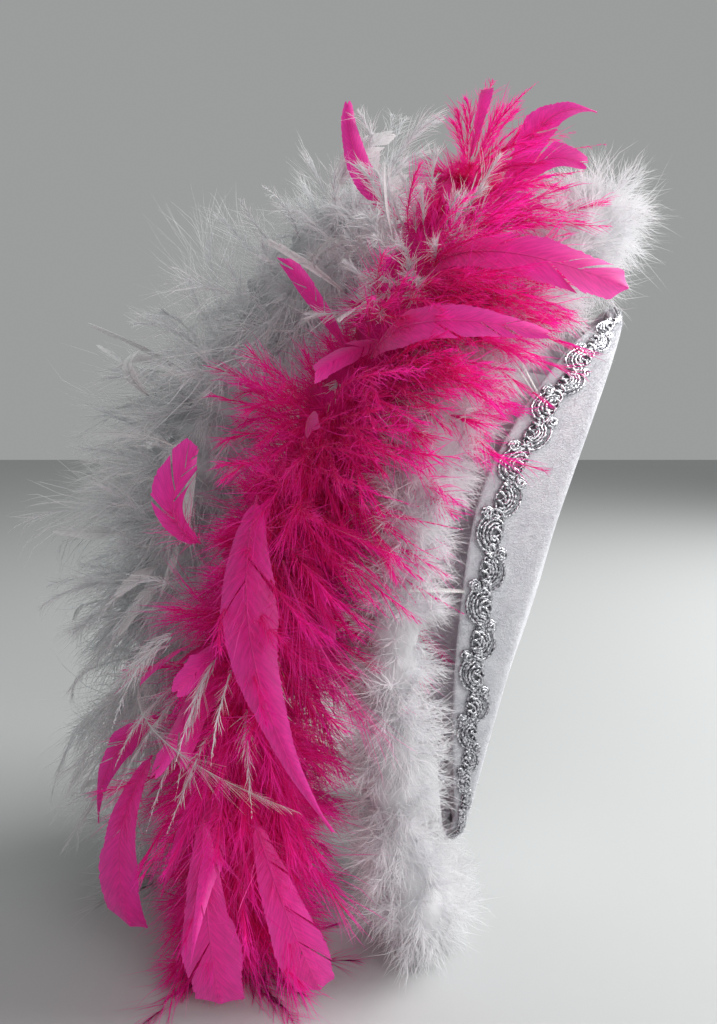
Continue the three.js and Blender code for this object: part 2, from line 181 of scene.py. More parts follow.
def install(
    name: str, shape: Shape, finish: bpy.types.Material, hat: "HatFrame",
    node: str = "", body: str = ROOT_BODY,
) -> None:
    """Makes a named piece of a shape, in place, dressed, and riding on its body.

    Args:
        name: The piece's name.
        shape: Its points and triangles, in the hat's frame.
        finish: Its material.
        hat: The frame that carries it into place.
        node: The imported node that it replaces, if it replaces one.
        body: The body that it rides on.
    """
    mesh = bpy.data.meshes.new(name)
    count = len(shape.faces)
    mesh.vertices.add(len(shape.points))
    mesh.loops.add(3 * count)
    mesh.polygons.add(count)
    mesh.vertices.foreach_set("co", hat.place(shape.points).astype(np.float32).ravel())
    mesh.loops.foreach_set("vertex_index", shape.faces.astype(np.int32).ravel())
    mesh.polygons.foreach_set("loop_start", np.arange(0, 3 * count, 3, dtype=np.int32))
    mesh.polygons.foreach_set("use_smooth", np.ones(count, bool))
    layer = mesh.uv_layers.new(name=UV_NAME)
    layer.data.foreach_set("uv", shape.uv[shape.faces.ravel()].astype(np.float32).ravel())
    mesh.update(calc_edges=True)
    mesh.materials.append(finish)
    piece = bpy.data.objects.new(name, mesh)
    bpy.context.scene.collection.objects.link(piece)
    if node:
        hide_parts(node)
    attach(piece, body)
    log.info("%s: %d faces", name, count)


def dress(node: str, finish: bpy.types.Material) -> None:
    """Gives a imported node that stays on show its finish."""
    mesh = frame["nodes"][node].data
    mesh.materials.clear()
    mesh.materials.append(finish)
    log.info("%s: dressed in %s", node, finish.name)


# ---------------------------------------------------------------- the hat's frame
@dataclass(frozen=True)
class HatFrame:
    """The hat's own frame, found from the head opening in the record."""

    origin: Array
    along: Array
    top: Array
    proud: float = 0.009
    floor_gap: float = 0.0004

    @classmethod
    def from_record(cls, seat: float) -> "HatFrame":
        """The frame behind the head opening, whose middle is seat millimetres above the origin."""
        mounts = {m["name"]: m for m in frame["record"]["mounts"]}
        opening = mounts["head_opening"]
        top = -unit(np.array(opening["axis"], float))
        along = unit(np.cross([0.0, 1.0, 0.0], top))
        origin = np.array(opening["pos_m"], float) - top * seat / 1000
        return cls(origin, along, top)

    @property
    def falling(self) -> Array:
        """Which way things fall, in the hat's frame."""
        return np.array([-self.along[2], 0.0, -self.top[2]])

    def heights(self, points: Array) -> Array:
        """Heights over the surface underneath, in millimetres."""
        return self.origin[2] * 1000 + points @ -self.falling

    def place(self, points: Array) -> Array:
        """Points in metres in Blender, kept above the surface underneath and in their room.

        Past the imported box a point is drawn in: what stands proud by d goes to
        proud (1 - e^(-d/proud)).
        """
        axes = np.stack([self.along, [0.0, 1.0, 0.0], self.top])
        made = self.origin + (points / 1000) @ axes
        low, high = np.array(CAD_BOX[0]), np.array(CAD_BOX[1])
        over = np.maximum(made - high, 0)
        under = np.maximum(low - made, 0)
        made = np.clip(made, low, high)
        made += self.proud * (1 - np.exp(-over / self.proud))
        made -= self.proud * (1 - np.exp(-under / self.proud))
        made[:, 2] = np.maximum(made[:, 2], self.floor_gap)
        return made


# ---------------------------------------------------------------- finishes
class Nodes:
    """Short hand for one material's nodes."""

    def __init__(self, name: str) -> None:
        """Starts a material with its Principled shader and output."""
        self.material = bpy.data.materials.new(name)
        self.material.use_nodes = True
        self.tree = self.material.node_tree
        self.shader = self.tree.nodes["Principled BSDF"]
        self.output = self.tree.nodes["Material Output"]

    def add(self, kind: str, **inputs: object) -> bpy.types.Node:
        """A new node; inputs that are sockets are linked, and others set."""
        node = self.tree.nodes.new(kind)
        for name, value in inputs.items():
            self.join(value, node.inputs[name.replace("_", " ")])
        return node

    def join(self, value: object, socket: bpy.types.NodeSocket) -> None:
        """Links a socket to a socket, or sets a value on it."""
        if isinstance(value, bpy.types.NodeSocket):
            self.tree.links.new(value, socket)
        else:
            socket.default_value = value

    def shade(self, **inputs: object) -> None:
        """Sets or links inputs of the shader."""
        for name, value in inputs.items():
            self.join(value, self.shader.inputs[name.replace("_", " ")])

    def place(self, scale: Point, own_map: bool) -> bpy.types.NodeSocket:
        """Pattern coordinates, scaled: the piece's own map, or its place in the object."""
        if own_map:
            source = self.tree.nodes.new("ShaderNodeUVMap")
            source.uv_map = UV_NAME
            start = source.outputs["UV"]
        else:
            start = self.tree.nodes.new("ShaderNodeTexCoord").outputs["Object"]
        mapping = self.add("ShaderNodeMapping", Vector=start)
        mapping.inputs["Scale"].default_value = scale
        return mapping.outputs["Vector"]

    def ramp(
        self, factor: bpy.types.NodeSocket, stops: list[tuple[float, Point]]
    ) -> bpy.types.NodeSocket:
        """A colour read off a ramp of stops."""
        node = self.add("ShaderNodeValToRGB", Fac=factor)
        points = node.color_ramp.elements
        while len(points) < len(stops):
            points.new(0.5)
        for point, (at, colour) in zip(points, stops):
            point.position, point.color = at, (*colour, 1)
        return node.outputs["Color"]

    def mix(self, share: object, a: object, b: object, how: str = "MIX") -> bpy.types.NodeSocket:
        """Two colours mixed."""
        node = self.tree.nodes.new("ShaderNodeMix")
        node.data_type, node.blend_type = "RGBA", how
        for value, socket in zip((share, a, b), (node.inputs[0], node.inputs[6], node.inputs[7])):
            self.join(value, socket)
        return node.outputs[2]

    def bump(self, height: bpy.types.NodeSocket, strength: float, distance: float) -> None:
        """Raises the surface by a height."""
        node = self.add("ShaderNodeBump", Height=height, Strength=strength, Distance=distance)
        self.shade(Normal=node.outputs["Normal"])

    def glow_through(self, share: float, colour: bpy.types.NodeSocket) -> None:
        """Lets a share of the light through to the far side, as thin keratin does."""
        thin = self.add("ShaderNodeBsdfTranslucent", Color=colour)
        both = self.tree.nodes.new("ShaderNodeMixShader")
        both.inputs[0].default_value = share
        self.join(self.shader.outputs[0], both.inputs[1])
        self.join(thin.outputs[0], both.inputs[2])
        self.join(both.outputs[0], self.output.inputs["Surface"])


@dataclass(frozen=True)
class DownFinish:
    """Dyed or natural down: barbs darker at the root, as painted shade of the boa's depths, and
    pale at the tip, each its own.
    """

    name: str
    # Root colour, darker than the tip: painted shade deep inside the boa.
    root: Point
    middle: Point
    tip: Point
    odd: Point
    sheen: float = 0.3
    through: float = 0.4
    rough: float = 0.75

    def material(self) -> bpy.types.Material:
        """Colour runs from a darker root, painted shade deep in the down, to a pale tip up the
        barb's own map, and varies from barb to barb across it.
        """
        n = Nodes(self.name)
        own = n.place((1, 1, 1), True)
        split = n.add("ShaderNodeSeparateXYZ", Vector=own)
        # The ramp darkens towards each barb's root: painted shade deep in the down.
        run = n.ramp(split.outputs["Y"], [(0.0, self.root), (0.45, self.middle), (1.0, self.tip)])
        tone = n.add(
            "ShaderNodeTexNoise", Vector=n.place((37, 1.5, 1), True), Scale=1.0, Detail=2.0
        )
        share = n.add("ShaderNodeMapRange", Value=tone.outputs["Fac"])
        share.inputs["From Min"].default_value, share.inputs["From Max"].default_value = 0.4, 0.75
        colour = n.mix(share.outputs["Result"], run, (*self.odd, 1))
        n.shade(Base_Color=colour, Roughness=self.rough, Sheen_Weight=self.sheen, IOR=1.5)
        n.shade(Sheen_Roughness=0.4)
        n.shader.inputs["Specular IOR Level"].default_value = 0.25
        n.glow_through(self.through, colour)
        return n.material


@dataclass(frozen=True)
class VaneFinish:
    """A flat feather's vane: barbs laid side by side, with a silky gloss along them."""

    name: str
    quill: Point
    vane: Point
    edge: Point
    through: float = 0.25
    rough: float = 0.42

    def material(self) -> bpy.types.Material:
        """Colour runs from the shaft out to the vane's edge, with fine streaks along the barbs."""
        n = Nodes(self.name)
        split = n.add("ShaderNodeSeparateXYZ", Vector=n.place((1, 1, 1), True))
        run = n.ramp(split.outputs["Y"], [(0.0, self.quill), (0.2, self.vane), (1.0, self.edge)])
        streak = n.add(
            "ShaderNodeTexNoise", Vector=n.place((130, 2.5, 1), True), Scale=1.0, Detail=3.0
        )
        tone = n.ramp(streak.outputs["Fac"], [(0.3, (0.74, 0.74, 0.74)), (0.65, (1, 1, 1))])
        colour = n.mix(1.0, run, tone, "MULTIPLY")
        n.shade(Base_Color=colour, Roughness=self.rough, Sheen_Weight=0.25, Anisotropic=0.5)
        n.shader.inputs["Specular IOR Level"].default_value = 0.4
        n.bump(streak.outputs["Fac"], 0.3, 0.0002)
        n.glow_through(self.through, colour)
        return n.material


@dataclass(frozen=True)
class FeltFinish:
    """Brushed wool felt: soft cloudy tone, matted fibres and a bloom of nap."""

    name: str
    light: Point
    shade: Point

    def material(self) -> bpy.types.Material:
        """Clouds of 7 mm in the colour; fibres of 0.5 and 1.5 mm in the relief."""
        n = Nodes(self.name)
        clouds = n.add(
            "ShaderNodeTexNoise", Vector=n.place((150, 150, 150), False), Scale=1.0, Detail=6.0
        )
        fibres = n.add(
            "ShaderNodeTexNoise", Vector=n.place((700, 700, 1800), False), Scale=1.0, Detail=6.0
        )
        fibres.inputs["Distortion"].default_value = 1.5
        base = n.ramp(clouds.outputs["Fac"], [(0.35, self.shade), (0.65, self.light)])
        speck = n.ramp(fibres.outputs["Fac"], [(0.3, (0.86, 0.86, 0.87)), (0.6, (1, 1, 1))])
        n.shade(Base_Color=n.mix(0.7, base, speck, "MULTIPLY"), Roughness=0.95)
        n.shade(Sheen_Weight=0.5, Sheen_Roughness=0.5)
        n.shader.inputs["Specular IOR Level"].default_value = 0.15
        mixed = n.mix(0.55, clouds.outputs["Fac"], fibres.outputs["Fac"])
        n.bump(mixed, 0.9, 0.002)
        return n.material


@dataclass(frozen=True)
class ClothFinish:
    """A woven ribbon, satin or thread, with ribs of a given pitch in millimetres."""

    name: str
    colour: Point
    pitch: float
    rough: float
    sheen: float

    def material(self) -> bpy.types.Material:
        """Ribs are a sine over the object's height, broken up by a fine weave."""
        n = Nodes(self.name)
        ribs = n.add(
            "ShaderNodeTexWave", Vector=n.place((1, 1, 1), False), Scale=1000 / self.pitch / 6.28
        )
        ribs.inputs["Distortion"].default_value = 0.4
        weave = n.add("ShaderNodeTexNoise", Vector=n.place((2200, 2200, 2200), False), Scale=1.0)
        deep = tuple(0.88 * c for c in self.colour)
        tone = n.ramp(weave.outputs["Fac"], [(0.3, deep), (0.7, self.colour)])
        n.shade(Base_Color=tone, Roughness=self.rough, Sheen_Weight=self.sheen)
        n.bump(ribs.outputs["Fac"], 0.5, 0.0003)
        return n.material


@dataclass(frozen=True)
class SilverThread:
    """Metallised thread wound on a core: bright, with a fine wrap, and bright glints and dark
    reflections painted into its colour.
    """

    name: str = "silver_thread"
    bright: Point = (0.88, 0.88, 0.91)
    # Dark end of the colour: painted dark reflection on the metal.
    painted_dark_reflection: Point = (0.16, 0.16, 0.18)

    def material(self) -> bpy.types.Material:
        """A wrap of fine turns in the relief; gloss varies from place to place, and the same noise
        paints bright glints and dark reflections into the colour.
        """
        n = Nodes(self.name)
        painted_glint_and_wrap = n.add(
            "ShaderNodeTexNoise", Vector=n.place((900, 900, 900), False), Scale=1.0, Detail=4.0
        )
        # Painted light: the noise swings the metal's colour between painted dark reflections and
        # bright glints.
        colour = n.ramp(painted_glint_and_wrap.outputs["Fac"], [(0.4, self.painted_dark_reflection), (0.6, self.bright)])
        rough = n.add("ShaderNodeMapRange", Value=painted_glint_and_wrap.outputs["Fac"])
        rough.inputs["To Min"].default_value, rough.inputs["To Max"].default_value = 0.38, 0.16
        n.shade(Base_Color=colour, Metallic=0.96, Roughness=rough.outputs["Result"])
        n.bump(painted_glint_and_wrap.outputs["Fac"], 0.6, 0.0003)
        return n.material


# ---------------------------------------------------------------- felt hat
@dataclass(frozen=True)
class Brim:
    """The upturned felt brim: two lens-shaped flaps that meet in two corners."""

    felt: float = 3.0
    half_length: float = 142.0
    corner_dip: float = 20.0
    fold_half_width: float = 76.0
    flare: float = 8.0
    flap_height: float = 34.0
    flap_least: float = 6.0
    fullness: float = 1.2
    opening: tuple[float, float] = (100.0, 66.0)
    seat: float = 16.0
    end: float = 89.7
    outline: tuple[tuple[float, float], ...] = (
        (-1, 0), (-0.6, 0.36), (-0.1, 0.77), (0.35, 1), (0.8, 0.6), (1, 0),
    )
    stations: int = 150
    across: int = 26
    roll: float = 0.12

    def rise(self, x: Array) -> Array:
        """Height of a flap over its fold; x runs from -1 to 1, corner to corner.

        The outline is a Catmull-Rom curve with doubled ends, and x is looked up on it.
        """
        p = np.array(self.outline, float)
        row = np.vstack([p[:1], p, p[-1:]])
        p0, p1, p2, p3 = (v[:, None] for v in (row[:-3], row[1:-2], row[2:-1], row[3:]))
        t = np.linspace(0, 1, 60, endpoint=False)[None, :, None]
        m1, m2 = (p2 - p0) / 2, (p3 - p1) / 2
        line = (
            (2 * p1 - 2 * p2 + m1 + m2) * t**3
            + (-3 * p1 + 3 * p2 - 2 * m1 - m2) * t**2
            + m1 * t
            + p1
        ).reshape(-1, 2)
        return np.maximum(self.flap_least, self.flap_height * np.interp(x, line[:, 0], line[:, 1]))

    def lines(self, angle: Array, side: int) -> tuple[Array, Array, Array]:
        """The inner edge, the fold and the outer edge at angles round the brim.

        Args:
            angle: Radians, -90 degrees at one corner and 90 at the other.
            side: -1 for the front flap and 1 for the back one.

        Returns:
            Three arrays of points: the ellipse of the opening, the fuller oval of the fold with
            its dipped corners, and the edge that stands over the fold by the flap's height.
        """
        across, along = np.maximum(np.cos(angle), 0), np.sin(angle)
        out = side * across**self.fullness
        fold_z = self.corner_dip * across**2
        inner = np.stack(
            [self.opening[0] * along, side * self.opening[1] * across, 0 * along + self.seat], -1
        )
        fold = np.stack([self.half_length * along, self.fold_half_width * out, fold_z], -1)
        edge = np.stack(
            [
                self.half_length * along,
                (self.fold_half_width + self.flare) * out,
                fold_z + self.rise(along),
            ],
            -1,
        )
        return inner, fold, edge

    def angles(self, count: int) -> Array:
        """Evenly spaced angles from corner to corner."""
        return np.radians(np.linspace(-self.end, self.end, count))

    def middle(self, angle: Array, side: int) -> Array:
        """The felt's middle: straight under the hat, a rounded fold, straight up the flap."""
        inner, fold, edge = (v[:, None] for v in self.lines(angle, side))
        count = self.across // 2
        t = np.linspace(0, 1, count)[None, :, None]
        near, far = fold + (inner - fold) * self.roll, fold + (edge - fold) * self.roll * 1.6
        bend = (1 - t) ** 2 * near + 2 * t * (1 - t) * fold + t**2 * far
        under = inner + (near - inner) * t[:, : count // 2] / t[:, count // 2]
        flap = far + (edge - far) * t
        return np.concatenate([under, bend, flap[:, 1:]], axis=1)

    def shape(self, side: int) -> Shape:
        """One half of the brim: the middle line thickened both ways, with rounded edges."""
        angle = self.angles(self.stations)
        line = self.middle(angle, side)
        along = unit(np.gradient(line, axis=0)) * side
        run = unit(np.gradient(line, axis=1))
        out = unit(np.cross(run, along))
        half = self.felt / 2
        turn = np.radians([45, 90, 135])[None, :, None]
        tip = line[:, -1:] + half * 0.8 * (np.cos(turn) * out[:, -1:] + np.sin(turn) * run[:, -1:])
        root = line[:, :1] - half * 0.8 * (np.cos(turn) * out[:, :1] + np.sin(turn) * run[:, :1])
        ring = np.concatenate([line + half * out, tip, (line - half * out)[:, ::-1], root], axis=1)
        rows, columns = ring.shape[:2]
        faces = grid_faces(rows, columns)
        spokes = np.arange(columns)
        first, last = rows * columns, rows * columns + 1
        start = np.stack([spokes, np.full(columns, first), (spokes + 1) % columns], 1)
        base = (rows - 1) * columns
        stop = np.stack([base + (spokes + 1) % columns, np.full(columns, last), base + spokes], 1)
        points = np.vstack([ring.reshape(-1, 3), ring[0].mean(0), ring[-1].mean(0)])
        faces = np.concatenate([faces, start, stop])
        return facing_out(Shape(points, faces, np.zeros((len(points), 2))))

    def nap(self, side: int, count: int, rng: np.random.Generator) -> Shape:
        """Short loose fibres of wool that stand on the flap's outer face and its edge."""
        angle = np.radians(rng.uniform(-self.end, self.end, count))
        _, fold, edge = self.lines(angle, side)
        _, fold_next, _ = self.lines(angle + 0.01, side)
        up = unit(edge - fold)
        out = unit(np.cross(up, unit(fold_next - fold))) * side
        share = rng.uniform(-0.02, 1.02, (count, 1)) ** 0.8
        lift = np.abs(rng.normal(0.35, 0.2, (count, 1)))
        root = fold + (edge - fold) * share + out * self.felt * 0.48
        aim = unit(rng.normal(0, 1, (count, 3)) + out * lift * 3)
        long = rng.uniform(1.0, 2.6, (count, 1))
        width = unit(np.cross(aim, out)) * 0.06
        bend = rng.normal(0, 0.25, (count, 3)) * long
        mid = root + aim * long / 2 + bend / 2
        tip = root + aim * long + bend
        points = np.stack([root - width, root + width, mid - width, mid + width, tip], 1)
        cells = np.array([[0, 1, 3], [0, 3, 2], [2, 3, 4]])
        faces = (np.arange(count)[:, None, None] * 5 + cells).reshape(-1, 3)
        return Shape(points.reshape(-1, 3), faces, np.zeros((count * 5, 2)))

    def covers(self, points: Array) -> Array:
        """Which points are in the head opening or close in front of a flap's face."""
        x = np.clip(points[:, 0] / self.half_length, -1, 1)
        c = np.sqrt(1 - x**2)
        edge_z = self.corner_dip * c**2 + self.rise(x)
        edge_y = (self.fold_half_width + self.flare) * c**self.fullness
        y = np.abs(points[:, 1])
        within = np.abs(points[:, 0]) < self.half_length
        under = (points[:, 2] < self.seat + 2) & (y < edge_y + 4)
        before = (points[:, 2] < edge_z - 5) & (y >= edge_y - 4) & (y < edge_y + 22)
        return within & (under | before)


def facing_out(shape: Shape) -> Shape:
    """The same closed shape with its faces outwards: its signed volume is made positive."""
    a, b, c = (shape.points[shape.faces[:, k]] for k in range(3))
    if np.einsum("ij,ij->", a, np.cross(b, c)) < 0:
        return Shape(shape.points, shape.faces[:, ::-1], shape.uv)
    return shape


@dataclass(frozen=True)
class Crown:
    """The egg-shaped crown, its sweatband and its lining: shells of one half egg."""

    half: tuple[float, float] = (104.0, 70.0)
    height: float = 100.0
    seat: float = 20.0
    felt: float = 3.0
    gap: float = 0.4
    ribbon: float = 1.4
    ribbon_width: float = 25.0
    satin: float = 0.8
    sides: int = 96

    def egg(self, inset: Array, low: float, high: float, rows: int) -> Array:
        """Points on the egg drawn in by inset, from one height to another.

        A point at angle a round the crown and elevation e is (A cos e cos a, B cos e sin a,
        C sin e), where A, B and C are the half sizes less the inset.
        """
        size = np.array([self.half[0], self.half[1], self.height])
        tall = self.height - float(np.mean(inset))
        bottom = math.asin(min(1.0, (low - self.seat) / tall))
        top = math.asin(min(1.0, (high - self.seat) / tall))
        e = np.linspace(bottom, top, rows)[:, None]
        a = np.linspace(0, 2 * np.pi, self.sides, endpoint=False)[None, :]
        ball = np.stack(
            np.broadcast_arrays(np.cos(e) * np.cos(a), np.cos(e) * np.sin(a), np.sin(e)), -1
        )
        return ball * (size - np.asarray(inset)[..., None]) + np.array([0, 0, self.seat])

    def shell(self, outer: Array, inner: Array, closed_top: bool) -> Shape:
        """Two skins joined along their rims, or closed at the pole."""
        rows, columns = outer.shape[:2]
        points = np.concatenate([outer.reshape(-1, 3), inner.reshape(-1, 3)])
        skin = grid_faces(rows, columns)
        back = skin[:, ::-1] + rows * columns
        spokes = np.arange(columns)
        nxt = (spokes + 1) % columns
        a, b, c, d = spokes, nxt, rows * columns + nxt, rows * columns + spokes
        rim = np.concatenate([np.stack([a, d, c], 1), np.stack([a, c, b], 1)])
        shift = (rows - 1) * columns
        if closed_top:
            poles = np.array([outer[-1].mean(0), inner[-1].mean(0)])
            lid = np.stack([shift + spokes, shift + nxt, np.full(columns, len(points))], 1)
            inside = rows * columns + shift
            peak = np.full(columns, len(points) + 1)
            lid_in = np.stack([inside + nxt, inside + spokes, peak], 1)
            points = np.vstack([points, poles])
            faces = [skin, back, rim, lid, lid_in]
        else:
            faces = [skin, back, rim, rim[:, ::-1] + shift]
        shape = Shape(points, np.concatenate(faces), np.zeros((len(points), 2)))
        return facing_out(shape)

    def felt_shape(self) -> Shape:
        """The felt itself, rim to pole."""
        outer = self.egg(np.array(0.0), self.seat, self.seat + self.height * 0.9999, 40)
        inner = self.egg(
            np.array(self.felt), self.seat, self.seat + (self.height - self.felt) * 0.9999, 40
        )
        return self.shell(outer, inner, True)

    def band_shape(self) -> Shape:
        """The ribbon inside the rim, with a slight ripple where it eases round the curve."""
        low = self.seat + self.gap
        a = np.linspace(0, 2 * np.pi, self.sides, endpoint=False)
        ripple = 0.25 * np.cos(12 * a)
        outer = self.egg(self.felt + self.gap + 0 * a, low, low + self.ribbon_width, 14)
        inner = self.egg(
            self.felt + self.gap + self.ribbon + ripple, low, low + self.ribbon_width, 14
        )
        return self.shell(outer, inner, False)

    def lining_shape(self) -> Shape:
        """The satin over the band, with shallow gathers that run up to the pole."""
        low = self.seat + 2 * self.gap + self.ribbon_width
        inset = self.felt + self.gap
        a = np.linspace(0, 2 * np.pi, self.sides, endpoint=False)
        rows = 30
        swell = np.sin(np.linspace(0.5, np.pi, rows))[:, None]
        gather = 0.9 * (1 + np.cos(24 * a))[None, :] * swell
        top = 0.9999
        outer = self.egg(inset + 0 * gather, low, self.seat + (self.height - inset) * top, rows)
        inner = self.egg(
            inset + self.satin + gather * 0.5, low,
            self.seat + (self.height - inset - 3) * top, rows,
        )
        return self.shell(outer, inner, True)

    def holds(self, points: Array) -> Array:
        """Which points are inside the crown."""
        size = np.array([self.half[0], self.half[1], self.height])
        p = (points - np.array([0, 0, self.seat])) / size
        return (np.sum(p**2, axis=1) < 1) & (points[:, 2] > self.seat - 4)


@dataclass(frozen=True)
class Felt:
    """The felt that feathers stay clear of."""

    brim: Brim
    crown: Crown

    def clear(self, points: Array) -> Array:
        """Which points are outside the crown, the head opening and the flaps' faces."""
        return ~(self.crown.holds(points) | self.brim.covers(points))


@dataclass(frozen=True)
class Gimp:
    """Silver scroll braid: shells of four twisted cords that swing from side to side."""

    brim: Brim
    width: float = 16.0
    share: float = 0.75
    gap: float = 0.4
    unit_length: float = 31.0
    cord: float = 0.66
    pitch: float = 2.4
    shells: tuple[float, ...] = (7.0, 5.5, 4.0, 2.5)

    def place(self, along: Array, across: Array, lift: Array, side: int) -> Array:
        """Points of the braid's own flat pattern laid on a flap's outer face.

        Args:
            along: Distance along the flap's edge, millimetres.
            across: Distance across the braid, from minus half its width at its foot.
            lift: Distance out of the felt's face.
            side: Which flap.

        Returns:
            Points in the hat's frame.
        """
        fine = self.brim.angles(800)
        _, fold, edge = self.brim.lines(fine, side)
        reach = np.concatenate([[0], np.cumsum(np.linalg.norm(np.diff(edge, axis=0), axis=1))])
        angle = np.interp(along, reach, fine)
        _, fold, edge = self.brim.lines(angle, side)
        _, fold_next, _ = self.brim.lines(angle + 0.01, side)
        rise = edge - fold
        tall = np.linalg.norm(rise, axis=1)
        up = rise / tall[:, None]
        out = unit(np.cross(up, unit(fold_next - fold))) * side
        span = np.minimum(self.width, self.share * tall)
        down = (0.5 - across / self.width) * span
        return edge - up * down[:, None] + out * (self.brim.felt / 2 + self.gap + lift)[:, None]

    def length(self, side: int) -> float:
        """Length of a flap's edge."""
        _, _, edge = self.brim.lines(self.brim.angles(800), side)
        return float(np.sum(np.linalg.norm(np.diff(edge, axis=0), axis=1)))

    def strands(self, total: float) -> list[tuple[Array, Array, Array]]:
        """The pattern's cords as (along, across, lift): running cords, shells, and coiled knots."""
        found = []
        run = np.arange(2, total - 2, 0.5)
        phase = np.pi * run / (self.unit_length / 2)
        for offset, height, base in ((0.0, 3.0, 0.6), (np.pi, 6.2, 0.6)):
            found.append((run, height * np.sin(phase + offset), base + 0.25 * np.cos(2 * phase)))
        for offset in (0.0, np.pi):
            turn = 2 * np.pi * run / 7.5 + offset
            found.append((
                run + 1.5 * np.cos(turn),
                1.2 * np.sin(phase) + 2.3 * np.sin(turn),
                1.5 + 0.4 * np.cos(turn),
            ))
        half = self.unit_length / 2
        for k in range(int(total // half)):
            sign = 1 if k % 2 else -1
            middle = (k + 0.5) * half
            for n, radius in enumerate(self.shells):
                a = np.linspace(-0.2, np.pi + 0.2, int(radius * 6))
                found.append((
                    middle + radius * 1.12 * np.cos(a),
                    sign * (radius * np.sin(a) - 0.4 + 1.2 * (n == 0)) + 0 * a,
                    0.9 + 0.35 * n + 0.3 * np.sin(a),
                ))
            a = np.linspace(0, 4.6 * np.pi, 60)
            spiral = 0.5 + 2.3 * a / a[-1]
            found.append((
                middle + half / 2 + spiral * np.cos(a),
                sign * 4.9 + spiral * np.sin(a),
                1.9 - 0.9 * a / a[-1],
            ))
        return [(np.clip(u, 1, total - 1), v, w) for u, v, w in found]

    def shape(self, side: int) -> Shape:
        """All the cords of one braid, each a two-ply tube along its strand."""
        cords = []
        for u, v, w in self.strands(self.length(side)):
            line = self.place(u, v, w, side)
            ease = np.interp(np.abs(line[:, 0]), [120, 141], [1.0, 0.5])
            cords.append(tube(line, self.cord * ease, 6, 0.5, 2 * np.pi / self.pitch))
        return Shape.joined(cords)


# ---------------------------------------------------------------- feathers
class TipCut(Enum):
    """How the vane of a flat feather ends."""

    ROUND = "round"
    SQUARE = "square"
    SLANT = "slant"
    POINTED = "pointed"
    WISPY = "wispy"


@dataclass(frozen=True)
class BarbCut:
    """How the barbs of one kind of feather grow from its shaft."""

    count: int
    steps: int
    reach: float
    width: float
    root_angle: float = 60.0
    tip_angle: float = 25.0
    loft: float = 0.15
    curl: float = 0.2
    wave: float = 0.0
    bare: float = 0.05
    droop: float = 0.0
    parting: float = 0.0

    @property
    def points(self) -> int:
        """Points in one barb."""
        return 2 * self.steps + 1


@dataclass(frozen=True)
class VaneCut:
    """How the vane of one kind of flat feather is made."""

    columns: int
    rows: int
    half_width: float
    root_angle: float = 42.0
    tip_angle: float = 24.0
    splits: float = 2.5
    parting: float = 0.04
    cup: float = 0.18
    fray: float = 0.02
    bare: float = 0.02


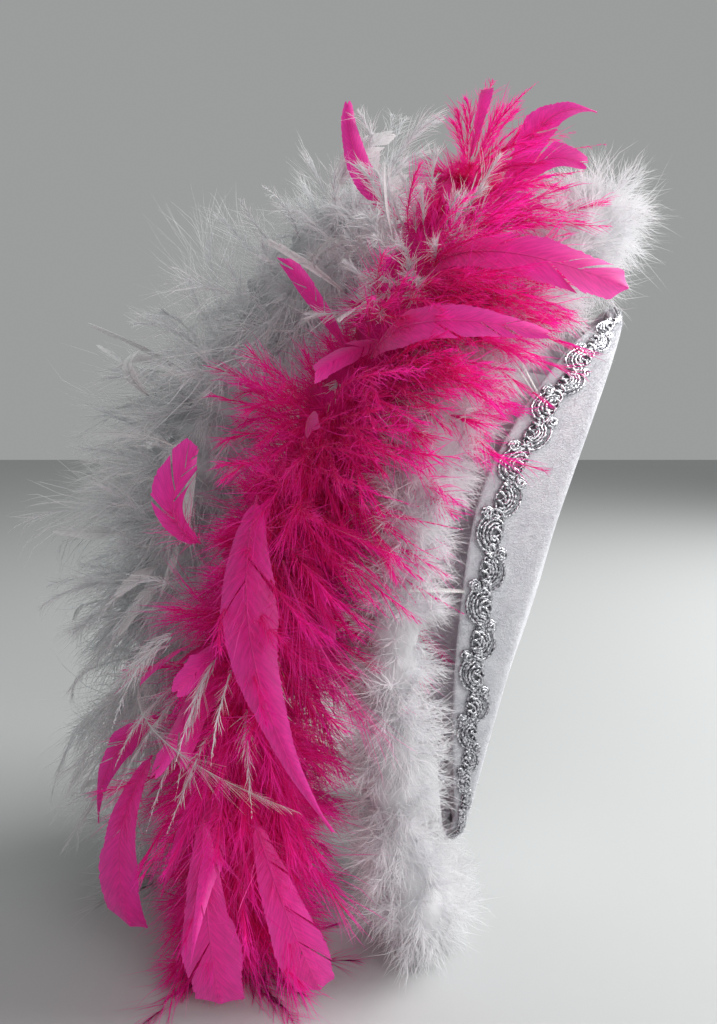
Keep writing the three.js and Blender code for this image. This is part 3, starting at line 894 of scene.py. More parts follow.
@dataclass
class Feathers:
    """Many feathers at once: each shaft is root + run t + bend t^2, with t from 0 to 1."""

    roots: Array
    runs: Array
    bends: Array
    faces: Array
    sizes: Array
    cut: TipCut = TipCut.ROUND

    def picked(self, which: Array) -> "Feathers":
        """Only the feathers that are asked for."""
        rows = (self.roots, self.runs, self.bends, self.faces, self.sizes)
        return Feathers(*(v[which] for v in rows), self.cut)

    def profile(self, t: Array) -> Array:
        """Length of a barb as a share of the longest, by its place on the shaft."""
        root = np.minimum(1, t / 0.3 + 0.2)
        if self.cut is TipCut.ROUND:
            return root * np.sqrt(np.maximum(1.04 - t**3, 0.03))
        if self.cut is TipCut.POINTED:
            return root * np.maximum(1 - t**1.2, 0.07)
        if self.cut is TipCut.WISPY:
            return root * (0.75 + 0.25 * np.sin(9 * t)) * np.maximum(1.05 - t**4, 0.1)
        return np.minimum(1, t / 0.65 + 0.2)

    def barbs(self, cut: BarbCut, fall: Array, rng: np.random.Generator) -> Shape:
        """Every barb of every feather as a thin tapered ribbon.

        A barb leaves its shaft at an angle that closes from root_angle to tip_angle towards the
        shaft's tip. Its centre line is root + aim s + curl s^2 + wave sin s, and its width shrinks
        to a point. On a square or slanted tip the barbs are trimmed on one line across the vane.

        Args:
            cut: How the barbs grow.
            fall: Which way down is.
            rng: Source of the irregularity.

        Returns:
            The ribbons, with the map's v running root to tip and u a column for each barb.
        """
        many = len(self.roots)
        pairs = cut.count // 2
        place = cut.bare + (1 - cut.bare) * (np.arange(pairs) + 0.5) / pairs
        t = np.tile(np.concatenate([place, place]), (many, 1))
        t = np.clip(t + rng.normal(0, 0.3 / pairs, t.shape), 0, 1)
        sign = np.tile(np.repeat([1.0, -1.0], pairs), (many, 1))
        t3 = t[..., None]
        root = self.roots[:, None] + self.runs[:, None] * t3 + self.bends[:, None] * t3**2
        run = unit(self.runs[:, None] + 2 * self.bends[:, None] * t3)
        shaft = np.linalg.norm(self.runs + self.bends * 0.9, axis=1)[:, None]
        side = unit(np.cross(run, self.faces[:, None] + 0 * run))
        up = np.cross(side, run)
        angle = np.radians(cut.root_angle + (cut.tip_angle - cut.root_angle) * t)
        angle = angle + rng.normal(0, 0.05 + 0.2 * cut.loft, t.shape)
        if cut.parting:
            group = np.cumsum(rng.random(t.shape) < 0.09, axis=1)
            table = rng.normal(0, cut.parting, (many, int(group.max()) + 1))
            angle = angle + np.take_along_axis(table, group, axis=1)
        lean = rng.normal(0, cut.loft * 1.6, t.shape)[..., None]
        aim = run * np.cos(angle)[..., None] + (
            side * sign[..., None] * np.cos(lean) + up * np.sin(lean)
        ) * np.sin(angle)[..., None]
        long = cut.reach * self.sizes[:, None] * self.profile(t)
        long = long * rng.uniform(0.6, 1.08 + 0.25 * cut.loft, t.shape)
        if self.cut in (TipCut.SQUARE, TipCut.SLANT):
            slope = 0.9 if self.cut is TipCut.SLANT else 0.25
            ahead = np.cos(angle) + slope * sign * np.sin(angle)
            room = (1.0 - t) * shaft + 0.1 * cut.reach * self.sizes[:, None]
            long = np.minimum(long, room / np.maximum(ahead, 0.25))
        flat = t.size
        root, run, aim, up = (v.reshape(flat, 3) for v in (root, run, aim, up))
        long = np.maximum(long.reshape(flat, 1), 0.4)
        hang = fall[None] * cut.droop
        carry = up * rng.normal(0.0, 1, (flat, 1)) * cut.curl + run * cut.curl * 0.5 + hang
        across = run if cut.loft < 0.3 else unit(np.cross(aim, rng.normal(0, 1, (flat, 3))))
        sway = unit(np.cross(aim, rng.normal(0, 1, (flat, 3)))) * cut.wave
        phase = rng.uniform(0, 6.28, (flat, 1))
        s = np.linspace(0, 1, cut.steps + 1)
        ribs = []
        for at in s:
            wave = sway * (np.sin(5 * at + phase) - np.sin(phase)) * at
            ribs.append(root + long * (aim * at + carry * at**2 + wave))
        halves = 0.5 * cut.width * np.sqrt(1.0 - 0.85 * s)
        points = []
        for k in range(cut.steps):
            points += [ribs[k] - across * halves[k], ribs[k] + across * halves[k]]
        points.append(ribs[-1])
        cells = [
            c for k in range(cut.steps - 1)
            for c in ([2 * k, 2 * k + 1, 2 * k + 3], [2 * k, 2 * k + 3, 2 * k + 2])
        ]
        cells.append([2 * cut.steps - 2, 2 * cut.steps - 1, 2 * cut.steps])
        faces = np.arange(flat)[:, None, None] * cut.points + np.array(cells)
        column = rng.random((flat, 1)) * 0.98 + 0.01
        u = column + np.array([[-0.004, 0.004] * cut.steps + [0.0]])
        v = np.broadcast_to(np.array([x for at in s[:-1] for x in (at, at)] + [1.0]), u.shape)
        uv = np.stack([u, 0.02 + 0.96 * v], -1)
        return Shape(np.stack(points, 1).reshape(-1, 3), faces.reshape(-1, 3), uv.reshape(-1, 2))

    def vanes(self, cut: "VaneCut", rng: np.random.Generator) -> Shape:
        """Both sides of every feather's vane, as sheets of barbs hooked to their neighbours.

        Each column of a sheet is one barb, root + aim s + cup s^2, at an angle to the shaft that
        closes towards its tip. Neighbours are joined, except where the vane has split.

        Args:
            cut: How the vane is made.
            rng: Source of the splits and the frayed edge.

        Returns:
            The sheets, with the map's u running along the shaft and v out to the edge.
        """
        many, n = len(self.roots), cut.columns
        t = np.linspace(cut.bare, 1, n)[None, None, :] * np.ones((many, 2, 1))
        sign = np.array([1.0, -1.0])[None, :, None]
        t3 = t[..., None]
        roots, runs, bends, faces = (
            v[:, None, None] for v in (self.roots, self.runs, self.bends, self.faces)
        )
        root = roots + runs * t3 + bends * t3**2
        run = unit(runs + 2 * bends * t3)
        side = unit(np.cross(run, faces + 0 * run))
        up = np.cross(side, run)
        group = np.cumsum(rng.random(t.shape) < cut.splits / n, axis=2)
        swing = rng.normal(0, cut.parting, (many, 2, int(group.max()) + 1))
        angle = np.radians(cut.root_angle + (cut.tip_angle - cut.root_angle) * t**1.5)
        angle = angle + np.take_along_axis(swing, group, axis=2)
        sizes = self.sizes[:, None, None]
        long = cut.half_width * sizes * self.profile(t) / np.sin(np.radians(cut.root_angle))
        ripple = np.sin(t * 17 + rng.uniform(0, 6, (many, 2, 1)))
        long = long * (1 + 0.04 * ripple + rng.normal(0, cut.fray, t.shape))
        if self.cut in (TipCut.SQUARE, TipCut.SLANT):
            shaft = np.linalg.norm(self.runs + self.bends, axis=1)[:, None, None]
            slope = 0.8 if self.cut is TipCut.SLANT else 0.2
            ahead = np.maximum(np.cos(angle) + slope * sign * np.sin(angle), 0.2)
            long = np.minimum(long, ((1.0 - t) * shaft + 0.5) / ahead)
        long = np.maximum(long, 0.3)[..., None]
        aim = run * np.cos(angle)[..., None] + side * (sign * np.sin(angle))[..., None]
        lift = rng.normal(0, 0.05, (many, 2, int(group.max()) + 1))
        carry = run * 0.12 - up * (cut.cup + np.take_along_axis(lift, group, axis=2))[..., None]
        s = np.linspace(0, 1, cut.rows)[:, None]
        reach = aim[..., None, :] * s + carry[..., None, :] * s**2
        points = root[..., None, :] + long[..., None, :] * reach
        index = np.arange(points[..., 0].size).reshape(points.shape[:-1])
        a, b = index[:, :, :-1, :-1], index[:, :, 1:, :-1]
        c, d = index[:, :, 1:, 1:], index[:, :, :-1, 1:]
        whole = (group[:, :, 1:] == group[:, :, :-1])[..., None] & (a >= 0)
        tris = np.concatenate([np.stack([a, b, c], -1)[whole], np.stack([a, c, d], -1)[whole]])
        start = rng.uniform(0, 0.5, (many, 1, 1, 1))
        u = np.broadcast_to(start + 0.01 + 0.47 * t3, points.shape[:-1])
        v = np.broadcast_to(0.03 + 0.94 * s[:, 0], points.shape[:-1])
        return Shape(points.reshape(-1, 3), tris, np.stack([u, v], -1).reshape(-1, 2))

    def shafts(self, radius: float, rows: int = 8) -> Shape:
        """Each feather's own shaft, a cord that tapers to its tip."""
        t = np.linspace(0, 1, rows)[:, None]
        taper = radius * (1.05 - t[:, 0])
        return Shape.joined([
            tube(r + v * t + b * t**2, taper * s, 5, 0.5)
            for r, v, b, s in zip(self.roots, self.runs, self.bends, self.sizes)
        ])


def culled(shape: Shape, each: int, felt: Felt) -> Shape:
    """The shape without the barbs that run into the hat.

    Args:
        shape: Ribbons of each points.
        each: Points in one ribbon.
        felt: What they stay clear of.

    Returns:
        The ribbons whose root, middle and tip are clear.
    """
    ribbons = shape.points.reshape(-1, each, 3)
    cells = shape.faces.reshape(len(ribbons), -1, 3)
    keep = np.ones(len(ribbons), bool)
    for k in (0, each // 2, each - 1):
        keep &= felt.clear(ribbons[:, k])
    fresh = cells[keep] - (np.arange(len(ribbons))[keep] * each)[:, None, None]
    fresh = fresh + (np.arange(int(keep.sum())) * each)[:, None, None]
    uv = shape.uv.reshape(-1, each, 2)[keep]
    return Shape(ribbons[keep].reshape(-1, 3), fresh.reshape(-1, 3), uv.reshape(-1, 2))


@dataclass
class Boa:
    """A boa: a twisted cord with feathers bound into it all the way along."""

    name: str
    node: str
    route: tuple[tuple[float, float, float, float], ...]
    stretches: int
    tufts: int
    cut: BarbCut
    finish: bpy.types.Material
    slot: str
    spread: float = 0.75
    slant: float = 0.5
    hang: float = 0.0
    core: float = 0.5
    crowded: float = 0.0
    fluff: float = 1.0
    seed: int = 1
    line: Array = field(init=False)
    radii: Array = field(init=False)
    shares: Array = field(init=False)

    def __post_init__(self) -> None:
        """Samples the route: points, radii, and each sample's share of the length."""
        rows = np.array(self.route, float)
        self.line = spline(rows[:, :3], SPAN_SAMPLES)
        flat = np.column_stack([np.arange(len(rows)), rows[:, 3]])
        self.radii = spline(flat, SPAN_SAMPLES)[:, 1]
        steps = np.linalg.norm(np.diff(self.line, axis=0), axis=1)
        reach = np.concatenate([[0], np.cumsum(steps)])
        self.shares = reach / reach[-1]

    def at(self, share: Array) -> tuple[Array, Array, Array]:
        """Centres, directions and radii of down at shares of the length."""
        def look(values: Array) -> Array:
            """Reads one column of the samples."""
            return np.interp(share, self.shares, values)

        centre = np.stack([look(self.line[:, k]) for k in range(3)], -1)
        slope = np.gradient(self.line, self.shares, axis=0)
        along = unit(np.stack([look(slope[:, k]) for k in range(3)], -1))
        return centre, along, look(self.radii)

    def tufted(
        self, first: float, last: float, count: int, fall: Array, rng: np.random.Generator
    ) -> Feathers:
        """Feathers bound into one stretch, which stand out all round and lean along the cord.

        Args:
            first: Share of the length where the stretch starts.
            last: Share where it ends.
            count: How many feathers.
            fall: Which way down is.
            rng: Source of the irregularity.

        Returns:
            The feathers, longer or shorter in bunches along the cord.
        """
        share = rng.uniform(first, last, count)
        centre, along, radius = self.at(share)
        spoke = unit(np.cross(along, rng.normal(0, 1, (count, 3))))
        lean = rng.normal(0, self.slant, (count, 1))
        way = unit(spoke + along * lean + fall * self.hang * 0.5)
        bunch = 1 + self.fluff * 0.18 * np.sin(share * 90 + 3 * spoke[:, 0] + 4 * spoke[:, 1])
        size = rng.uniform(0.7, 1.1, count) * bunch
        room = 1 - self.crowded * np.maximum(way[:, 2], 0)
        reach = (radius * self.spread * size * room)[:, None]
        stray = unit(rng.normal(0, 1, (count, 3))) * 0.35
        bend = (stray + along * lean * 0.2 + fall * self.hang) * reach
        faces = unit(rng.normal(0, 1, (count, 3)))
        return Feathers(centre + spoke * 2, way * reach, bend, faces, size * radius / FULL_RADIUS)

    def middle(self, first: float, last: float, rng: np.random.Generator) -> Shape:
        """The packed down round the cord, where no single barb can be told from the next; its
        colour is read near the dark root end of the ramp, as painted shade in the gaps.
        """
        share = np.linspace(first, last, 30)
        centre, _, radius = self.at(share)
        lumps = 1 + 0.16 * np.sin(np.linspace(0, 40, 30) + rng.uniform(0, 6))
        ease = np.minimum(1, 0.3 + 4 * np.minimum(share - first, last - share) / (last - first))
        body = tube(centre, radius * self.core * lumps * ease, 18, 0.3)
        # Painted shade: the core takes the dark colour near the roots, which shows in the gaps
        # between barbs.
        body.uv[:, 1] = 0.12
        return body

    def build(self, hat: HatFrame, felt: Felt) -> None:
        """Makes the boa's stretches of down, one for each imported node.

        Args:
            hat: The frame that carries them into place.
            felt: What they stay clear of.
        """
        for k in range(self.stretches):
            rng = np.random.default_rng(self.seed * 100 + k)
            first, last = k / self.stretches, (k + 1) / self.stretches
            feathers = self.tufted(first, last, self.tufts, hat.falling, rng)
            feathers = feathers.picked(hat.heights(feathers.roots) > DOWN_HEIGHT)
            ribbons = culled(feathers.barbs(self.cut, hat.falling, rng), self.cut.points, felt)
            shape = Shape.joined([self.middle(first, last, rng), ribbons])
            node = f"{self.node}_{k + 1}"
            install(f"{self.name}_{k + 1}", shape, self.finish, hat, node)


@dataclass
class Flats:
    """Small flat feathers bound in among a boa's down, which fall over one another."""

    boa: Boa
    name: str
    slot: str
    finish: bpy.types.Material
    count: int
    length: float
    half_width: float
    depth: float = 0.55
    hang: float = 0.45
    seed: int = 21

    def build(self, hat: HatFrame, felt: Felt) -> None:
        """Makes one piece for each way the feathers' tips are cut."""
        for k, tip in enumerate((TipCut.ROUND, TipCut.SLANT, TipCut.POINTED)):
            rng = np.random.default_rng(self.seed * 10 + k)
            share = rng.uniform(0.02, 0.97, self.count)
            centre, along, radius = self.boa.at(share)
            spoke = unit(np.cross(along, rng.normal(0, 1, (self.count, 3))))
            root = centre + spoke * (radius * self.depth)[:, None]
            reach = (self.length * rng.uniform(0.6, 1.15, self.count))[:, None]
            lean = along * rng.normal(0, 0.45, (self.count, 1))
            way = unit(spoke + lean + hat.falling * self.hang)
            stray = unit(rng.normal(0, 1, (self.count, 3))) * 0.22
            bend = (hat.falling * self.hang * 0.6 + stray) * reach
            faces = unit(spoke + rng.normal(0, 0.5, (self.count, 3)))
            sizes = rng.uniform(0.6, 1.1, self.count)
            flats = Feathers(root, way * reach, bend, faces, sizes, tip)
            ends = root + way * reach + bend
            high = (hat.heights(root) > FLAT_HEIGHT) & (hat.heights(ends) > END_HEIGHT)
            flats = flats.picked(felt.clear(ends) & felt.clear(root) & high)
            vane = VaneCut(44, 5, self.half_width, splits=3, parting=0.07, cup=0.22)
            shape = Shape.joined([flats.vanes(vane, rng), flats.shafts(0.32, 8)])
            install(f"{self.name}_{tip.value}", shape, self.finish, hat)


LOOSE_BARBS = BarbCut(
    count=80, steps=4, reach=15, width=0.34, root_angle=30, tip_angle=8, loft=0.34, curl=0.32,
    wave=0.07, bare=0.0, droop=0.12, parting=0.22,
)


@dataclass(frozen=True)
class Spray:
    """A burst of feathers that escapes from a boa in one direction."""

    at: float
    toward: Point
    count: int
    length: float
    wide: float
    flat: bool = False
    open: float = 0.35
    hang: float = 0.2
    sweep: Point = (0.0, 0.0, 0.0)
    depth: float = 0.3

    def feathers(self, boa: Boa, fall: Array, rng: np.random.Generator) -> Feathers:
        """The shafts: they start inside the down and fan out about the burst's direction.

        Args:
            boa: The boa they are bound into.
            fall: Which way down is.
            rng: Source of the irregularity.

        Returns:
            The feathers.
        """
        share = np.clip(self.at + rng.normal(0, 0.02, self.count), 0.005, 0.99)
        centre, along, radius = boa.at(share)
        aim = unit(np.array(self.toward, float))
        way = unit(aim + rng.normal(0, self.open, (self.count, 3)))
        root = centre + way * (radius * (self.depth + rng.uniform(0, 0.5, self.count)))[:, None]
        reach = (self.length * rng.uniform(0.65, 1.1, self.count))[:, None]
        stray = unit(rng.normal(0, 1, (self.count, 3))) * 0.25
        bend = (fall * self.hang + np.array(self.sweep) + stray) * reach
        faces = unit(np.array([0.2, -1.0, 0.1]) + rng.normal(0, 0.45, (self.count, 3)))
        sizes = rng.uniform(0.75, 1.1, self.count)
        cuts = (TipCut.POINTED, TipCut.ROUND, TipCut.SLANT)
        return Feathers(root, way * reach, bend, faces, sizes, cuts[int(rng.integers(3))])

    def shape(self, boa: Boa, hat: HatFrame, felt: Felt, rng: np.random.Generator) -> Shape:
        """The burst as vanes, or as soft open barbs, with their shafts.

        Args:
            boa: The boa that it escapes from.
            hat: The frame that carries them into place.
            felt: What they stay clear of.
            rng: Source of the irregularity.

        Returns:
            Every feather of the burst.
        """
        made = self.feathers(boa, hat.falling, rng)
        ends = made.roots + made.runs + made.bends
        made = made.picked(felt.clear(ends) & (hat.heights(ends) > END_HEIGHT))
        if self.flat:
            vane = VaneCut(60, 5, self.wide / 2, splits=3, parting=0.06, cup=0.2)
            blades = made.vanes(vane, rng)
        else:
            loose = replace(LOOSE_BARBS, reach=self.wide * 1.35)
            blades = culled(made.barbs(loose, hat.falling, rng), loose.points, felt)
        return Shape.joined([blades, made.shafts(0.3, 5)])


@dataclass
class SpraySet:
    """All the bursts of one boa that share a finish."""

    boa: Boa
    name: str
    slot: str
    sprays: tuple[Spray, ...]
    seed: int

    def build(
        self, vane: bpy.types.Material, down: bpy.types.Material, hat: HatFrame, felt: Felt
    ) -> None:
        """Makes one piece of the vaned bursts and one of the downy ones.

        Args:
            vane: Finish of the flat feathers.
            down: Finish of the downy ones.
            hat: The frame that carries them into place.
            felt: What they stay clear of.
        """
        for kind, flat, finish in (("vaned", True, vane), ("downy", False, down)):
            shapes = [
                spray.shape(self.boa, hat, felt, np.random.default_rng(self.seed * 50 + k))
                for k, spray in enumerate(self.sprays) if spray.flat is flat
            ]
            install(f"{self.name}_{kind}", Shape.joined(shapes), finish, hat)


@dataclass(frozen=True)
class Plume:
    """One flat feather that stands out of a boa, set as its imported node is."""

    at: float
    tip: Point
    bulge: Point
    wide: float
    face: Point
    cut: TipCut = TipCut.ROUND
    exit: Point | None = None

    def feather(self, boa: Boa) -> Feathers:
        """The shaft: a quadratic curve from the down's surface to the tip, bulged midway."""
        centre, along, radius = (v[0] for v in boa.at(np.array([self.at])))
        end = np.array(self.tip, float)
        out = np.array(self.exit, float) if self.exit else end - centre
        square = unit(out - along * (out @ along))
        start = centre + square * (radius + 1.4)
        control = (start + end) / 2 + 2 * np.array(self.bulge, float)
        run = 2 * (control - start)
        bend = start - 2 * control + end
        face = unit(np.array(self.face, float))
        return Feathers(start[None], run[None], bend[None], face[None], np.array([1.0]), self.cut)


@dataclass
class PlumeSet:
    """The flat feathers of one boa, one piece for each packed plume."""

    boa: Boa
    node: str
    slot: str
    plumes: tuple[Plume, ...]
    finish: bpy.types.Material
    shaft: float = 0.55
    seed: int = 7

    def blade(
        self, plume: Plume, feather: Feathers, fall: Array, rng: np.random.Generator
    ) -> Shape:
        """The barbs of one plume: a closed vane with downy barbs at its foot, or loose long barbs.

        Args:
            plume: The plume.
            feather: Its shaft.
            fall: Which way down is.
            rng: Source of the irregularity.

        Returns:
            The blade without its shaft.
        """
        length = float(np.linalg.norm(feather.runs[0] + feather.bends[0]))
        if plume.cut is TipCut.WISPY:
            loose = BarbCut(
                count=int(length / 0.9) * 2, steps=6, reach=plume.wide * 2.4, width=0.42,
                root_angle=24, tip_angle=5, loft=0.2, curl=0.14, wave=0.03, bare=0.0, droop=0.08,
                parting=0.1,
            )
            return feather.barbs(loose, fall, rng)
        vane = VaneCut(columns=int(length / 0.8) + 8, rows=7, half_width=plume.wide * 0.5)
        foot = replace(
            feather, runs=feather.runs * 0.45, bends=feather.bends * 0.2, cut=TipCut.ROUND
        )
        downy = BarbCut(
            count=90, steps=4, reach=plume.wide * 0.8, width=0.3, root_angle=70, tip_angle=35,
            loft=0.5, curl=0.4, wave=0.1, bare=0.0, droop=0.1,
        )
        return Shape.joined([feather.vanes(vane, rng), foot.barbs(downy, fall, rng)])

    def build(self, hat: HatFrame) -> None:
        """Makes every plume and lets it ride on the body that its node is in.

        Args:
            hat: The frame that carries them into place.
        """
        bodies = frame["record"]["behaviour"]["bodies"]
        for k, plume in enumerate(self.plumes):
            node = f"{self.node}_{k + 1}"
            rng = np.random.default_rng(self.seed * 1000 + k)
            feather = plume.feather(self.boa)
            ribbons = self.blade(plume, feather, hat.falling, rng)
            shaft = feather.shafts(self.shaft, 24)
            shaft.uv[:, 1] = 0.05
            body = next(b for b, nodes in bodies.items() if node in nodes)
            shape = Shape.joined([shaft, ribbons])
            install(f"{node}_feather", shape, self.finish, hat, node, body)


# ---------------------------------------------------------------- the three boas and their plumes
MARABOU_ROUTE = (
    (-163, -3, 3, 17), (-159, -48, 10, 22), (-147, -80, 26, 28), (-93, -85, 53, 27),
    (-50, -96, 67, 26), (0, -97, 78, 25), (42, -95, 80, 25), (85, -86, 74, 25),
    (130, -60, 54, 28), (166, -40, 34, 32), (183, 0, 27, 33), (166, 40, 34, 32),
    (130, 60, 54, 28), (85, 86, 74, 25), (42, 95, 80, 25), (0, 97, 78, 25),
    (-50, 96, 67, 26), (-93, 85, 53, 27), (-147, 80, 26, 28), (-159, 48, 10, 22),
    (-163, 3, 3, 17),
)
PINK_ROUTE = (
    (188, -10, 92, 22), (130, -28, 97, 25), (85, -45, 110, 28), (35, -57, 127, 32),
    (-25, -66, 133, 34), (-90, -72, 124, 37), (-145, -74, 114, 34), (-202, -76, 99, 31),
)
WHITE_ROUTE = (
    (168, 22, 132, 25), (106, 16, 160, 44), (50, 15, 176, 51), (-11, 15, 182, 53),
    (-76, 15, 174, 51), (-140, 12, 152, 44), (-206, 12, 118, 38),
)
PINK_PLUMES = (
    Plume(0.1, (198, -15, 158), (-4, 0, 5), 13, (0, -1, 0.3), TipCut.ROUND),
    Plume(0.02, (218, -38, 47), (8, -6, 6), 17, (0.2, -1, 0), TipCut.POINTED),
    Plume(0.07, (187, -62, 50), (6, -8, 6), 14, (0, -1, 0.2), TipCut.ROUND),
    Plume(0.19, (134, -102, 26), (4, -18, 16), 20, (0.1, -0.6, 0.8), TipCut.SQUARE, (0, -1, 0.1)),
    Plume(0.3, (106, -120, 55), (4, -14, 14), 16, (0.1, -0.6, 0.8), TipCut.ROUND, (0, -1, 0.1)),
    Plume(0.53, (27, -88, 172), (-6, -8, 8), 20, (0.2, -1, 0.2), TipCut.SLANT),
    Plume(
        0.47, (-99, -124, 78), (-2, -12, 14), 30, (0.1, -1, 0.2), TipCut.POINTED, (-0.2, -1, 0.4)
    ),
    Plume(0.52, (-56, -130, 68), (2, -8, 6), 18, (0, -1, 0.1), TipCut.WISPY, (0, -1, -0.2)),
    Plume(0.72, (-157, -62, 177), (6, -6, 8), 15, (0.2, -1, 0), TipCut.POINTED),
    Plume(0.75, (-186, -86, 148), (4, -8, 8), 20, (0.3, -1, 0.1), TipCut.SLANT),
    Plume(0.78, (-189, -114, 101), (4, -6, 2), 26, (0.2, -1, 0), TipCut.SQUARE, (-0.2, -1, 0.2)),
    Plume(0.78, (-176, -108, 62), (4, -8, 2), 24, (0.2, -1, -0.2), TipCut.SQUARE, (-0.2, -1, -0.4)),
)
WHITE_PLUMES = (
    Plume(0.05, (195, -2, 135), (0, -4, 4), 14, (0, -1, 0.2), TipCut.ROUND),
    Plume(0.18, (130, -48, 140), (8, -6, 4), 12, (0, -1, 0.3), TipCut.WISPY),
    Plume(0.36, (60, -36, 218), (0, -8, 6), 8, (0.2, -1, 0.2), TipCut.POINTED),
    Plume(0.4, (12, -44, 236), (6, -6, 0), 12, (0.3, -1, 0), TipCut.WISPY, (0, -1, 0.1)),
    Plume(0.66, (-94, -126, 93), (2, -24, 26), 12, (0.2, -0.8, 0.8), TipCut.WISPY, (0, -1, 0)),
    Plume(0.77, (-170, -46, 142), (6, -6, 6), 14, (0.2, -1, 0.2), TipCut.WISPY),
)


ACROSS: Point = (0.0, -0.1, -0.5)
ASIDE: Point = (0.0, -0.1, -0.3)
PINK_SPRAYS = (
    Spray(0.02, (1, -0.3, -0.2), 12, 38, 12),
    Spray(0.05, (0.6, -1.0, -0.4), 8, 38, 13, False, 0.25, 0.1, ACROSS, 0.7),
    Spray(0.1, (0.3, -1.0, -0.4), 12, 40, 13, False, 0.25, 0.1, ACROSS, 0.8),
    Spray(0.15, (0.1, -1.0, -0.4), 24, 46, 13, False, 0.25, 0.1, ACROSS, 0.8),
    Spray(0.2, (0.0, -1.0, -0.4), 36, 46, 13, False, 0.25, 0.1, ACROSS, 0.8),
    Spray(0.25, (0.0, -1.0, -0.4), 34, 46, 13, False, 0.25, 0.1, ASIDE, 0.8),
    Spray(0.3, (0.0, -1.0, -0.4), 34, 46, 13, False, 0.25, 0.1, ASIDE, 0.8),
    Spray(0.36, (-0.1, -1.0, -0.4), 30, 44, 13, False, 0.25, 0.1, ASIDE, 0.8),
    Spray(0.42, (-0.3, -1.0, -0.4), 24, 46, 14, False, 0.3, 0.1, ACROSS, 0.7),
    Spray(0.48, (-0.3, -1.0, -0.4), 18, 42, 14, False, 0.3, 0.1, ACROSS, 0.6),
    Spray(0.55, (-0.4, -1.0, -0.4), 12, 40, 14, False, 0.3, 0.1, ACROSS, 0.6),
    Spray(0.38, (0.2, -0.8, 0.9), 14, 38, 13, False, 0.3),
    Spray(0.18, (0.5, -1.0, -0.4), 13, 36, 13, False, 0.35, 0.1, ACROSS, 1.15),
    Spray(0.28, (0.5, -1.0, -0.3), 13, 36, 13, False, 0.35, 0.1, ASIDE, 1.1),
    Spray(0.52, (-0.6, -0.9, -0.6), 8, 50, 15),
    Spray(0.62, (-0.8, -0.9, -0.4), 10, 46, 15),
    Spray(0.72, (-1.0, -0.9, -0.1), 12, 46, 15),
    Spray(0.06, (0.8, -0.5, -0.6), 2, 44, 11, True, 0.4),
    Spray(0.22, (0.1, -0.9, -0.5), 2, 44, 11, True, 0.45),
    Spray(0.3, (0.7, -0.4, 1.0), 1, 46, 9, True, 0.1, 0.1),
    Spray(0.45, (-0.6, -1.0, 0.0), 3, 50, 13, True, 0.45),
    Spray(0.58, (-1.0, -0.8, -0.1), 3, 52, 13, True, 0.4),
    Spray(0.72, (-1.0, -0.8, 0.2), 4, 46, 14, True, 0.4),
)
WHITE_SPRAYS = (
    Spray(0.02, (1, -0.5, -0.1), 8, 46, 15),
    Spray(0.08, (0.3, -1.0, -0.3), 10, 46, 15),
    Spray(0.16, (0.3, -1.0, 0.2), 8, 44, 15),
    Spray(0.3, (0.2, -0.6, 1.0), 10, 44, 16),
    Spray(0.45, (0.0, -0.6, 1.0), 10, 46, 17),
    Spray(0.6, (-0.2, -0.6, 1.0), 10, 46, 17),
    Spray(0.7, (-0.8, -0.8, 0.4), 12, 58, 14, False, 0.3, 0.4),
    Spray(0.8, (-1.0, -0.9, 0.2), 12, 54, 13, False, 0.3, 0.4),
    Spray(0.05, (0.8, -0.8, 0.0), 3, 40, 9, True),
    Spray(0.35, (0.4, -0.8, 0.8), 4, 42, 8, True),
    Spray(0.55, (-0.2, -0.8, 0.8), 4, 42, 8, True),
)
WHITE_ACCENTS = (
    Spray(0.17, (0.5, -1.0, 0.6), 30, 28, 14, False, 0.5, 0.05, depth=1.1),
    Spray(0.21, (0.1, -1.0, 0.1), 12, 18, 12, False, 0.5, 0.1, depth=1.35),
    Spray(0.6, (-0.8, -0.8, 0.8), 16, 34, 11, False, 0.4, 0.8, depth=0.9),
    Spray(0.2, (0.8, -0.9, 0.6), 1, 46, 11, True, 0.05, 0.0, depth=1.1),
    Spray(0.24, (0.5, -1.0, 0.8), 2, 40, 6, True, 0.3, 0.3, depth=1.0),
)


